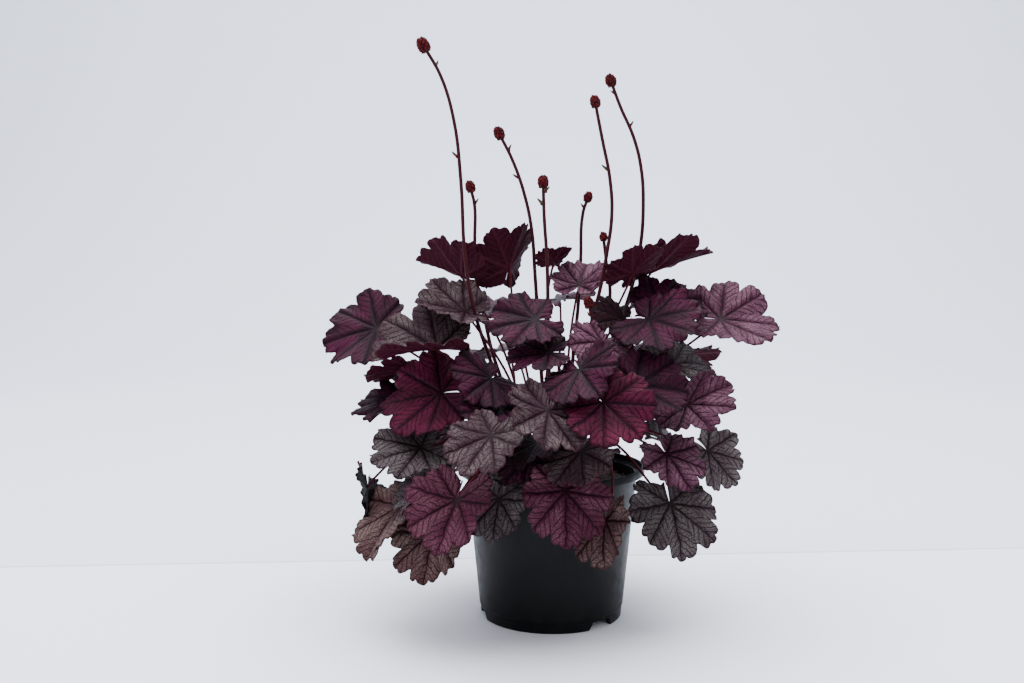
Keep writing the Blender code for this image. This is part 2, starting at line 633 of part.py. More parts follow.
def main():
    clear_scene()
    mats = {}
    for key, colour in FINISHES.items():
        mats[key] = material("heuchera leaf " + key, colour, 0.5)
    stem = material("flower stalk", (0.12, 0.030, 0.035), 0.55)
    pot = make_pot()
    soil = make_soil()
    slots = root_slots(len(LEAVES) + len(STALKS) + len(SHOOTS) + 6)
    bases = []
    standing = []
    keep_out = []
    # the pot's rim and wall as a plain turned ring for the clearing test
    ring_p, ring_f = [], []
    n = 32
    for r, z in ((POT_RIM_R - 3.4, POT_HEIGHT - 8), (POT_RIM_R - 3.4, POT_HEIGHT + 0.8), (POT_RIM_R + 0.9, POT_HEIGHT + 0.8),
                 (POT_RIM_R + 0.9, POT_HEIGHT - 8.8), (POT_TOP_R + 0.9, POT_HEIGHT - 9.6), (POT_BASE_R + 0.9, -5)):
        for i in range(n):
            a = 2 * math.pi * (i + 0.5) / n
            ring_p.append(Vector((r * math.cos(a), r * math.sin(a), z)))
    for k in range(5):
        for i in range(n):
            j = (i + 1) % n
            ring_f.append((k * n + i, k * n + j, (k + 1) * n + j, (k + 1) * n + i))
    standing.append(tree_of([(ring_p, ring_f)]))

    for row in STALKS:
        x, y, z = row[1][0]
        root = take_slot(slots, x, y, 0.52 * min(1.0, math.hypot(x, y) / 60))
        parts = stalk_parts(row, root)
        union_object(row[0], parts, stem)
        bases.append((root, STALK_R + 0.55, 4))
        standing.append(tree_of(parts))

    for row in LEAVES:
        x, y, z = row[2]
        share = max(0.25, min(1.0, 1.15 - (z - 120) / 330.0))
        root = take_slot(slots, x, y, share)
        change = settle(lambda c: [leaf_shape(row, root, c, 0.55)], standing)
        if change is None:
            print("no clear place for", row[0])
            continue
        shape = leaf_shape(row, root, change)
        turn_out(add_object(row[0], shape[0], shape[1], mats[row[1]]))
        bases.append((root, PETIOLE_R + 0.55, 4))
        standing.append(tree_of([shape]))
        print(row[0], change)

    for name, azimuth, pair in SHOOTS:
        a = math.radians(azimuth)
        root = take_slot(slots, math.sin(a) * 100, -math.cos(a) * 100, 0.92)
        rows = []
        for k, (finish, reach, height, length) in enumerate(pair):
            spread = azimuth + (-9, 9)[k]
            b = math.radians(spread)
            place = (math.sin(b) * reach, -math.cos(b) * reach, height)
            pitch = -30 + (height - 150) * 0.16
            rows.append(("%s_%d" % (name, k), finish, place, spread + (14, -12)[k], pitch, (10, -12)[k],
                         length, 0.98, 7, 17, 0.0, 0.06, 0.9 * k + azimuth * 0.05))
        foot_p, foot_f = [], []
        tube_mesh([root + Vector((0, 0, -0.2)), root + Vector((0, 0, 9)), root + Vector((0, 0, 13))],
                  [3.4, 3.4, 1.6], 6, foot_p, foot_f)
        parts = [(foot_p, foot_f)]
        for k, row in enumerate(rows):
            across = Vector((math.cos(a), math.sin(a), 0)) * (-1.3, 1.3)[k]
            own = root + across + Vector((0, 0, 3))
            change = settle(lambda c: [trimmed(leaf_shape(row, own, c, 0.55))], standing)
            if change is None:
                print("no clear place for", row[0])
                continue
            shape = leaf_shape(row, own, change)
            parts.append(shape)
            standing.append(tree_of([trimmed(shape)]))
            print(row[0], change)
        standing.append(tree_of(parts))
        shoot = union_object(name, parts, mats[pair[0][0]])
        bases.append((root, 3.4 + 0.5, 6))

    make_crown(bases)


def trimmed(shape):
    """The leaf without the foot of its petiole, which the two leaves of a shoot share."""
    points, faces = shape
    kept = [f for f in faces if max(f) < len(points) - 8]
    return points, kept


main()
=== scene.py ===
# Potted heuchera in its nursery pot: fine leaves, stalks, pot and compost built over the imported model
import bpy
import random
from math import atan2, cos, degrees, exp, hypot, pi, radians, sin, sqrt
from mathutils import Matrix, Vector, noise
from mathutils.kdtree import KDTree


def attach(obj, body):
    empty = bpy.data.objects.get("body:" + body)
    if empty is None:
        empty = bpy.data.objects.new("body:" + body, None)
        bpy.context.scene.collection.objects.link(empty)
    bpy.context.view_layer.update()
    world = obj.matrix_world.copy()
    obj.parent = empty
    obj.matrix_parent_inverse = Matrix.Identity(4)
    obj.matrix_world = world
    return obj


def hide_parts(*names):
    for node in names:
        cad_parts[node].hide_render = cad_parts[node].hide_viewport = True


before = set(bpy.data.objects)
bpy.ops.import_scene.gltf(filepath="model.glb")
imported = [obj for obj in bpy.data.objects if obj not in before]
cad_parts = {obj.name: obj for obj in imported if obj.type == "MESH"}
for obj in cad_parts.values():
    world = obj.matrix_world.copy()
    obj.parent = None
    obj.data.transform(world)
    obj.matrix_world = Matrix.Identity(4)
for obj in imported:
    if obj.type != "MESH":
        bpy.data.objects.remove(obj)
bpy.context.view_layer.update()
print("frame loaded:", len(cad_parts), "solids")

mm = 0.001


def linear(hexCode, alpha=1.0):
    # sRGB hex to the linear values that the shader wants
    code = hexCode.lstrip("#")
    out = []
    for k in (0, 2, 4):
        c = int(code[k:k + 2], 16) / 255
        out.append(c / 12.92 if c <= 0.04045 else ((c + 0.055) / 1.055) ** 2.4)
    return (out[0], out[1], out[2], alpha)


def feed(node, values):
    # gives a node its values: a node or socket is linked, from a node its first output, and
    # a hex code is a colour
    for key, value in values.items():
        if hasattr(value, "outputs"):
            value = value.outputs[0]
        if isinstance(value, bpy.types.NodeSocket):
            node.id_data.links.new(value, node.inputs[key])
        elif isinstance(key, int) or key in node.inputs:
            node.inputs[key].default_value = linear(value) if str(value).startswith("#") else value
        else:
            setattr(node, key, value)
    return node


def addNode(mat, kind, values):
    # adds a shader node to a material; what is mixed here is always colour
    node = mat.node_tree.nodes.new("ShaderNode" + kind)
    if kind == "Mix":
        node.data_type = 'RGBA'
    return feed(node, values)


def newMaterial(name):
    # a material, its shader and the place on the piece that its patterns read
    mat = bpy.data.materials.new(name)
    mat.use_nodes = True
    return mat, mat.node_tree.nodes["Principled BSDF"], addNode(mat, "TexCoord", {}).outputs["Object"]


def deselectAll():
    if bpy.context.mode != 'OBJECT':
        bpy.ops.object.mode_set(mode='OBJECT')
    bpy.ops.object.select_all(action='DESELECT')


def pick(thing):
    deselectAll()
    thing.select_set(True)
    bpy.context.view_layer.objects.active = thing


def editAll(thing, *steps):
    # runs edit mode operators on the whole mesh
    pick(thing)
    bpy.ops.object.mode_set(mode='EDIT')
    bpy.ops.mesh.select_all(action='SELECT')
    for step, options in steps:
        step(**options)
    bpy.ops.object.mode_set(mode='OBJECT')


def applyModifier(thing, kind, **settings):
    pick(thing)
    mod = thing.modifiers.new(kind.title(), kind)
    for key, value in settings.items():
        setattr(mod, key, value)
    bpy.ops.object.modifier_apply(modifier=mod.name)


def joinInto(target, others):
    deselectAll()
    for o in others:
        o.select_set(True)
    target.select_set(True)
    bpy.context.view_layer.objects.active = target
    bpy.ops.object.join()
    return target


def smoothUpTo(thing, limit):
    # smooth shading, but edges sharper than this angle stay crisp
    pick(thing)
    bpy.ops.object.shade_smooth_by_angle(angle=radians(limit))


def settle(thing, name, *replaced):
    # puts the piece's place into its mesh, names it and lets it ride on the model
    pick(thing)
    bpy.ops.object.transform_apply(location=True, rotation=True, scale=True)
    thing.name = name
    thing.data.name = name
    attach(thing, "root")
    if replaced:
        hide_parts(*replaced)
    return thing


# upper face: flesh between the veins, second flesh colour, vein, rim, and strength of the net veins
leafFinishes = {
    "silver": ("#584c4c", "#35232a", "#18060e", "#361c24", 0.68),
    "grey": ("#5d5656", "#43383b", "#160a0e", "#241417", 0.66),
    "mauve": ("#6d4a5a", "#492638", "#1e0612", "#2e0b1b", 0.55),
    "plum": ("#3f0f29", "#220616", "#0e0208", "#16040c", 0.45),
    "pink": ("#5e3844", "#441c2d", "#1e060f", "#2f0c1c", 0.55),
    "magenta": ("#53142d", "#35081c", "#18020c", "#230411", 0.45),
    "brown": ("#67534f", "#4b3436", "#1c070a", "#2b1214", 0.66),
    "red": ("#441020", "#2e0714", "#14020a", "#1f040d", 0.40),
    "dark": ("#2a1019", "#1a060d", "#0c0205", "#120408", 0.40),
}

leafVeins = {
    "sectorDegrees": (20.0, 60.5, 103.5),  # borders between the fields of the main veins
    "stepDegrees": (40.0, 41.0, 45.0),  # from one main vein to the next
    "mainWidth": 1.00,  # mm, half width near the stem
    "sideSpacing": 6.8,  # mm between side veins
    "sideWidth": 0.55,  # mm, half width
    "sideShift": 1.7,  # mm, so that side veins leave by turns
    "sideSlant": 0.95,  # how far side veins lean forwards
    "netCell": 3.1,  # mm, mesh of the net veins, drawn a little coarse so it shows
    "wander": 5.4,  # mm, how far veins stray from a true course
    "grooveWidth": 2.2,  # mm, of the sunken strip along a main vein
    "pillow": 0.9,  # mm, height of a blister and depth of a groove
    "flatMiddle": 14.0,  # mm round the stem where the blisters fade in
}


def leafMaterial(key, under=False):
    # living leaf: waxy skin over pigment, so a dull satin with dark, sunken veins
    fleshTone, cloudTone, veinTone, rimTone, netShare = leafFinishes[key]
    v = leafVeins
    mat, skin, where = newMaterial("heuchera leaf " + key + (" underside" if under else ""))
    plan = addNode(mat, "Attribute", {"attribute_name": "leafPlan"})
    wobble = addNode(mat, "TexNoise", {"noise_dimensions": '3D', "Scale": 0.11, "Detail": 2.0,
            "Vector": plan.outputs["Vector"]})
    shift = addNode(mat, "VectorMath", {"operation": 'MULTIPLY_ADD', 1: (v["wander"], v["wander"], 0.0),
            2: (-v["wander"] / 2, -v["wander"] / 2, 0.0), 0: wobble.outputs["Color"]})
    bent = addNode(mat, "VectorMath", {"operation": 'ADD', 0: plan.outputs["Vector"], 1: shift})
    part = addNode(mat, "SeparateXYZ", {0: bent})
    plain = addNode(mat, "SeparateXYZ", {0: plan.outputs["Vector"]})
    side = addNode(mat, "Math", {"operation": 'ABSOLUTE', 0: part.outputs["Y"]})
    angle = addNode(mat, "Math", {"operation": 'ARCTAN2', 0: side, 1: part.outputs["X"]})
    flat = addNode(mat, "VectorMath", {"operation": 'MULTIPLY', 1: (1.0, 1.0, 0.0), 0: bent})
    radius = addNode(mat, "VectorMath", {"operation": 'LENGTH', 0: flat})
    centre = None
    for border, step in zip(v["sectorDegrees"], v["stepDegrees"]):
        past = addNode(mat, "Math", {"operation": 'GREATER_THAN', 1: radians(border), 0: angle})
        stride = addNode(mat, "Math", {"operation": 'MULTIPLY', 1: radians(step), 0: past})
        if centre is None:
            centre = stride
        else:
            centre = addNode(mat, "Math", {"operation": 'ADD', 0: centre, 1: stride})
    off = addNode(mat, "Math", {"operation": 'SUBTRACT', 0: angle, 1: centre})
    sine = addNode(mat, "Math", {"operation": 'SINE', 0: off})
    cosine = addNode(mat, "Math", {"operation": 'COSINE', 0: off})
    across = addNode(mat, "Math", {"operation": 'MULTIPLY', 0: sine, 1: radius.outputs["Value"]})
    along = addNode(mat, "Math", {"operation": 'MULTIPLY', 0: cosine, 1: radius.outputs["Value"]})
    away = addNode(mat, "Math", {"operation": 'ABSOLUTE', 0: across})
    # main veins, thinner towards the margin
    thin = addNode(mat, "MapRange", {"From Min": 0.0, "From Max": 1.0, "To Min": v["mainWidth"] * 1.5,
            "To Max": v["mainWidth"] * 0.45, "Value": plain.outputs["Z"]})
    ratio = addNode(mat, "Math", {"operation": 'DIVIDE', 0: away, 1: thin})
    mainVein = addNode(mat, "MapRange", {"interpolation_type": 'SMOOTHSTEP', "From Min": 0.6,
            "From Max": 1.7, "To Min": 1.0, "To Max": 0.0, "Value": ratio})
    halo = addNode(mat, "MapRange", {"interpolation_type": 'SMOOTHSTEP', "From Min": 0.8, "From Max": 7.0,
            "To Min": 1.0, "To Max": 0.0, "Value": ratio})
    # side veins leave the main ones forwards
    which = addNode(mat, "Math", {"operation": 'SIGN', 0: across})
    lag = addNode(mat, "Math", {"operation": 'MULTIPLY_ADD', 1: v["sideShift"], 0: which, 2: along})
    slant = addNode(mat, "Math", {"operation": 'MULTIPLY_ADD', 1: -v["sideSlant"], 0: away, 2: lag})
    count = addNode(mat, "Math", {"operation": 'DIVIDE', 1: v["sideSpacing"], 0: slant})
    saw = addNode(mat, "Math", {"operation": 'FRACT', 0: count})
    mid = addNode(mat, "Math", {"operation": 'SUBTRACT', 1: 0.5, 0: saw})
    near = addNode(mat, "Math", {"operation": 'ABSOLUTE', 0: mid})
    sideVein = addNode(mat, "MapRange", {"interpolation_type": 'SMOOTHSTEP',
            "From Min": 0.5 * v["sideWidth"] / v["sideSpacing"],
            "From Max": 2.2 * v["sideWidth"] / v["sideSpacing"], "To Min": 0.85, "To Max": 0.0,
            "Value": near})
    # net veins
    cells = addNode(mat, "TexVoronoi", {"voronoi_dimensions": '2D', "feature": 'DISTANCE_TO_EDGE',
            "Scale": 1.0 / v["netCell"], "Randomness": 0.9, "Vector": bent})
    netVein = addNode(mat, "MapRange", {"interpolation_type": 'SMOOTHSTEP', "From Min": 0.02,
            "From Max": 0.16, "To Min": netShare, "To Max": 0.0, "Value": cells})
    lines = addNode(mat, "Math", {"operation": 'MAXIMUM', 0: mainVein, 1: sideVein})
    veins = addNode(mat, "Math", {"operation": 'MAXIMUM', 0: lines, 1: netVein})
    # colour clouds over the blade, different on each leaf through its place
    cloud = addNode(mat, "TexNoise", {"Scale": 34.0, "Detail": 3.0, "Roughness": 0.6, "Vector": where})
    clouds = addNode(mat, "MapRange", {"From Min": 0.36, "From Max": 0.64, "Value": cloud})
    stain = addNode(mat, "Math", {"operation": 'MULTIPLY_ADD', 1: 0.6, "use_clamp": True, 0: halo,
            2: clouds})
    flesh = addNode(mat, "Mix", {6: fleshTone, 7: cloudTone, 0: stain})
    veined = addNode(mat, "Mix", {7: veinTone, 0: veins, 6: flesh.outputs[2]})
    edge = addNode(mat, "MapRange", {"interpolation_type": 'SMOOTHSTEP', "From Min": 0.93, "From Max": 1.0,
            "To Max": 0.75, "Value": plain.outputs["Z"]})
    rimmed = addNode(mat, "Mix", {7: rimTone, 0: edge, 6: veined.outputs[2]})
    if under:
        # the underside is one dark wine colour with paler, raised veins
        pale = addNode(mat, "Mix", {6: "#320a19", 7: "#481c2a", 0: lines})
        rimmed = addNode(mat, "Mix", {0: 0.5, 7: "#2a0714", 6: pale.outputs[2]})
    fine = addNode(mat, "TexNoise", {"Scale": 900.0, "Detail": 2.0, "Vector": where})
    height = addNode(mat, "Math", {"operation": 'MULTIPLY_ADD', 1: 0.10, 0: fine, 2: veins})
    bump = addNode(mat, "Bump", {"Strength": 0.55, "Distance": 0.0006, "invert": not under,
            "Height": height})
    feed(skin, {"Roughness": 0.62 if under else 0.5, "IOR": 1.42, "Specular IOR Level": 0.08,
            "Base Color": rimmed.outputs[2], "Normal": bump})
    return mat


def stemMaterial(name, low, high, rough):
    # living stem: dull, finely hairy skin with lengthwise streaks of two tones
    mat, skin, where = newMaterial(name)
    stretch = addNode(mat, "Mapping", {"Scale": (1.0, 1.0, 0.12), "Vector": where})
    streak = addNode(mat, "TexNoise", {"Scale": 900.0, "Detail": 3.0, "Vector": stretch})
    colour = addNode(mat, "Mix", {6: low, 7: high, 0: streak})
    bump = addNode(mat, "Bump", {"Strength": 0.4, "Distance": 0.0003, "Height": streak})
    feed(skin, {"Roughness": rough, "Specular IOR Level": 0.1, "Sheen Weight": 0.02,
            "Base Color": colour.outputs[2], "Normal": bump})
    return mat


# lobes from the tip outwards: angle in degrees and reach as a share of the length
leafShape = {
    "lobes": ((0.0, 1.0), (40.0, 0.95), (81.0, 0.84), (126.0, 0.68)),
    "sinusDepth": 0.16,
    "baseAngle": 160.0,
    "baseReach": 0.44,
    "baseCurve": (1.2, 1.5),  # how far past the base angle the margin still falls, and how steeply
    "sinusSharp": 4.0,
    "rings": 13,
    "steps": 216,
    "thickness": 0.5,
    "toothDegrees": 13.33,
    "toothDepth": 0.085,
    "toothGrow": 0.03,
    "closeAngle": 175.0,
    "foldSoft": 7.0,  # mm, over which the fold along the midrib is rounded
    # size, growth towards the margin, waves round the leaf and lag of each set of waves
    "waves": ((1.0, 2, 5.0, 1.0), (0.5, 3, 9.0, 2.3)),
    "crimps": ((0.020, 5, 18.0, 3.1), (0.012, 8, 36.0, 1.3)),
    "relief": 1.05,
    "ringCrowding": 0.9,
    "solidThickness": 0.8,
}

# the stem of a leaf, on the course that the solids have: millimetres, degrees and shares
petioleShape = {
    "radius": 1.45,
    "foot": 9,
    "levelHeight": 188.0,  # a leaf whose stem meets it at this height is met level
    "slopeGain": 0.58,
    "slopeLimits": (-48.0, 74.0),
    "stemShare": 0.62,  # how much the stem's own slope counts against the blade's heading
    "leafShare": 0.38,
    "riseShare": 0.46,
    "riseLeast": (74.0, 0.10),
    "outShare": 0.12,
    "runIn": 0.36,
    "underBlade": 0.55,
    "reachUnder": 0.12,
    "bows": (0, 9, -9, 18, -18),
    "resolution": 12,
    "sides": 2,
}


def outlineReach(angle):
    # reach of the margin at an angle in radians, with lobes and rounded teeth
    s = leafShape
    a = abs(degrees(angle))
    lobes = s["lobes"]
    if a >= lobes[-1][0]:
        last = lobes[-1]
        t = (a - last[0]) / (s["baseAngle"] - last[0])
        furthest, steep = s["baseCurve"]
        reach = last[1] + (s["baseReach"] - last[1]) * min(furthest, t) ** steep
    else:
        k = max(i for i in range(len(lobes)) if lobes[i][0] <= a)
        gap = lobes[k + 1][0] - lobes[k][0]
        t = (a - lobes[k][0]) / gap
        reach = lobes[k][1] + (lobes[k + 1][1] - lobes[k][1]) * t
        depth = min(t, 1 - t) * 2
        reach *= 1 - s["sinusDepth"] * depth ** s["sinusSharp"]
    phase = (a / s["toothDegrees"] + 0.5) % 1.0
    bump = sqrt(max(0.0, 1 - (2 * phase - 1) ** 2))
    return reach * (1 - s["toothDepth"] * (1 - bump) + s["toothGrow"])


def bladeFrame(heading, pitch, roll):
    h, p, r = radians(heading), radians(pitch), radians(roll)
    tip = Vector((sin(h) * cos(p), -cos(h) * cos(p), sin(p)))
    level = Vector((-cos(h), -sin(h), 0.0))
    normal = tip.cross(level)
    if normal.z < 0:
        normal = -normal
    side = normal.cross(tip)
    normal = normal * cos(r) + side * sin(r)
    return tip, normal.cross(tip), normal


def bladePoint(leaf, junction, axes, angle, reach, share, fine=0.0):
    # a point of the blade in millimetres, and its place on the leaf laid flat
    s = leafShape
    length, width, fold, droop, cup, wave, phase = leaf
    tip, side, normal = axes
    a = flatA = cos(angle) * reach * share * length
    b = flatB = sin(angle) * reach * share * length * width
    half = radians(fold) * abs(b) / (abs(b) + s["foldSoft"])
    height = abs(b) * sin(half)
    b = b * cos(half)
    height += cup * length * share ** 3
    for size, growth, waves, lag in s["waves"]:
        height += size * wave * length * share ** growth * sin(waves * angle + lag * phase)
    if fine:
        # quilted between the veins and crimped at the margin
        height += fine * quilt(flatA, flatB)
        for size, growth, waves, lag in s["crimps"]:
            height += size * length * share ** growth * sin(waves * angle + lag * phase)
    bend = radians(droop) / length
    turn = bend * a
    along = sin(turn) / bend
    down = (1.0 - cos(turn)) / bend
    along += height * sin(turn)
    rise = height * cos(turn) - down
    return junction + tip * along + side * b + normal * rise, (flatA, flatB, share)


def quilt(a, b):
    # blisters between main and side veins, in millimetres
    v = leafVeins
    angle = atan2(abs(b), a)
    centre = 0.0
    for border, step in zip(v["sectorDegrees"], v["stepDegrees"]):
        if angle > radians(border):
            centre += radians(step)
    radius = hypot(a, b)
    across = radius * sin(angle - centre)
    along = radius * cos(angle - centre)
    groove = exp(-(across / v["grooveWidth"]) ** 2)
    shift = v["sideShift"] if across > 0 else -v["sideShift"]
    slant = (along + shift - v["sideSlant"] * abs(across)) / v["sideSpacing"]
    pillow = 1 - (2 * ((slant + 0.5) % 1.0) - 1) ** 2
    fade = min(1.0, radius / v["flatMiddle"])
    return (pillow * v["pillow"] * (1 - groove) - groove * v["pillow"]) * fade


# leaves whose stem reaches the blade from below, as in the solids: depth of the arch in millimetres
stemsFromBelow = {
    "leaf_dark_small": 12,
    "leaf_grey_right_low": 14,
    "leaf_purple_under_top": 10,
    "leaf_dark_edge_left": 10,
    "leaf_grey_far_right": 10,
}


def petioleCurve(name, root, junction, axes, bow):
    # start, two handles and final heading of the stem, with its sideways bow
    p = petioleShape
    low, high = p["slopeLimits"]
    flat = Vector((junction.x - root.x, junction.y - root.y, 0))
    reach = flat.length
    out = flat.normalized() if reach > 1 else Vector((0, -1, 0))
    across = Vector((-out.y, out.x, 0))
    slope = radians(max(low, min(high, (junction.z - p["levelHeight"]) * p["slopeGain"])))
    heading = out * cos(slope) + Vector((0, 0, 1)) * sin(slope)
    heading = (heading * p["stemShare"] + axes[0] * p["leafShare"]).normalized()
    chord = (junction - root).length
    start = root + Vector((0, 0, p["foot"]))
    least, loss = p["riseLeast"]
    rise = max(p["riseShare"] * (junction.z - root.z), least - loss * (junction.z - root.z))
    p1 = start + Vector((0, 0, rise)) + out * p["outShare"] * reach + across * bow
    p2 = junction - heading * p["runIn"] * chord + across * bow
    if name in stemsFromBelow:
        p2 -= axes[2] * stemsFromBelow[name]
        heading = (junction + across * bow - p2).normalized()
    return start, p1, p2, heading


def curvePoint(start, p1, p2, end, t):
    return start * (1 - t) ** 3 + p1 * 3 * t * (1 - t) ** 2 + p2 * 3 * t * t * (1 - t) + end * t ** 3


def placedLeaf(row, change):
    place, heading, pitch, roll = row[2:6]
    swing, lift, push = change[:3]
    out = hypot(place[0], place[1])
    turn = atan2(place[1], place[0]) + radians(swing)
    junction = Vector(((out + push) * cos(turn), (out + push) * sin(turn), place[2] + lift))
    return junction, bladeFrame(heading + swing, pitch + row[9] * 0.4, roll)


def bendChoices():
    # the small bends that the solids were cleared with, the least first
    options = []
    for swing in (0, 2, -2, 4, -4, 7, -7, 11, -11, 16, -16):
        for lift in (0, 5, -5, 10, -10, 16, -16, 23):
            for push in (0, 5, -5, 11, -11, 18, -18):
                effort = abs(swing) * 1.6 + abs(lift) * 0.7 + abs(push) * 0.7
                options.append((effort, swing, lift, push))
    options.sort()
    return [o[1:] for o in options]


bendOptions = bendChoices()


def solidTree(nodeName):
    points = [v.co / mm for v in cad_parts[nodeName].data.vertices]
    tree = KDTree(len(points))
    for k, p in enumerate(points):
        tree.insert(p, k)
    tree.balance()
    return tree


def readBend(row, tree, root):
    # finds how the solid of this leaf was bent clear, by where its lobes are: the middle of
    # the blade lies half the solid's thickness from its faces, so a true match misses by that
    leaf = row[6:]
    marks = ((0.0, 1.0), (40.0, 0.95), (-81.0, 0.84))
    best = None
    for swing, lift, push in bendOptions:
        junction, axes = placedLeaf(row, (swing, lift, push, 0))
        miss = 0.0
        for a, r in marks:
            at, flat = bladePoint(leaf, junction, axes, radians(a), r, 1.0)
            miss += tree.find(at)[2]
        if best is None or miss < best[0]:
            best = (miss, swing, lift, push)
    change = best[1:]
    junction, axes = placedLeaf(row, change + (0,))
    bows = []
    for bow in petioleShape["bows"]:
        start, p1, p2, heading = petioleCurve(row[0], root, junction, axes, bow)
        miss = 0.0
        for t in (0.4, 0.6):
            miss += abs(tree.find(curvePoint(start, p1, p2, junction, t))[2] - petioleShape["radius"])
        bows.append((miss, bow))
    off = best[0] / len(marks) - leafShape["solidThickness"] / 2
    if off > 0.1:
        print("leaf", row[0], "is", round(off, 2), "mm off its solid", change)
    return change + (min(bows)[1],)


def thicken(curve, radius, resolution, sides, mat):
    # gives a curve its thickness and makes it a mesh
    curve.data.dimensions = '3D'
    curve.data.resolution_u = resolution
    curve.data.bevel_depth = radius * mm
    curve.data.bevel_resolution = sides
    curve.data.use_fill_caps = True
    bpy.ops.object.convert(target='MESH')
    curve.data.materials.clear()
    curve.data.materials.append(mat)
    return curve


def growLeaf(row, root, change, upper, under, stem):
    s, p = leafShape, petioleShape
    name, leaf = row[0], row[6:]
    junction, axes = placedLeaf(row, change)
    deselectAll()
    bpy.ops.mesh.primitive_grid_add(x_subdivisions=s["rings"], y_subdivisions=s["steps"], size=2.0)
    blade = bpy.context.active_object
    mesh = blade.data
    plan = mesh.attributes.new("leafPlan", 'FLOAT_VECTOR', 'POINT')
    coords, flats = [], []
    base = radians(s["closeAngle"])
    for v in mesh.vertices:
        share = ((v.co.x + 1) / 2) ** s["ringCrowding"]
        angle = v.co.y * base
        point, flat = bladePoint(leaf, junction, axes, angle, outlineReach(angle), share, s["relief"])
        coords.extend(point * mm)
        flats.extend(flat)
    mesh.vertices.foreach_set("co", coords)
    plan.data.foreach_set("vector", flats)
    editAll(blade, (bpy.ops.mesh.remove_doubles, {"threshold": 0.00002}))
    facing = sum(((p.normal.dot(axes[2])) * p.area for p in mesh.polygons))
    if facing < 0:
        editAll(blade, (bpy.ops.mesh.flip_normals, {}))
    for mat in (upper, under, stem):
        mesh.materials.append(mat)
    applyModifier(blade, 'SOLIDIFY', thickness=s["thickness"] * mm, offset=0.0, material_offset=1,
                  material_offset_rim=0)
    # petiole: a bezier from the crown that ends under the midrib
    start, p1, p2, heading = petioleCurve(name, root, junction, axes, change[3])
    end, flat = bladePoint(leaf, junction, axes, 0.0, 1.0, p["reachUnder"])
    bpy.ops.curve.primitive_bezier_curve_add()
    stalk = bpy.context.active_object
    stalk.data.splines[0].bezier_points.add(2)
    below = axes[2] * p["underBlade"]
    knots = ((root, root - Vector((0, 0, 2)), root + Vector((0, 0, 3)), 1.0),
             (start, start - Vector((0, 0, 3)), p1, 1.0),
             (junction - below * 2.6, p2 - below * 4.0, junction - below * 2.6 + heading * 2.0, 0.80),
             (end - below * 2.0, end - below * 2.4 - axes[0] * 2.0, end - below * 2.0 + axes[0], 0.40))
    for point, (co, left, right, size) in zip(stalk.data.splines[0].bezier_points, knots):
        point.handle_left_type = point.handle_right_type = 'FREE'
        point.co, point.handle_left, point.handle_right = co * mm, left * mm, right * mm
        point.radius = size
    joinInto(blade, [thicken(stalk, p["radius"], p["resolution"], p["sides"], stem)])
    blade.data.shade_smooth()
    return blade


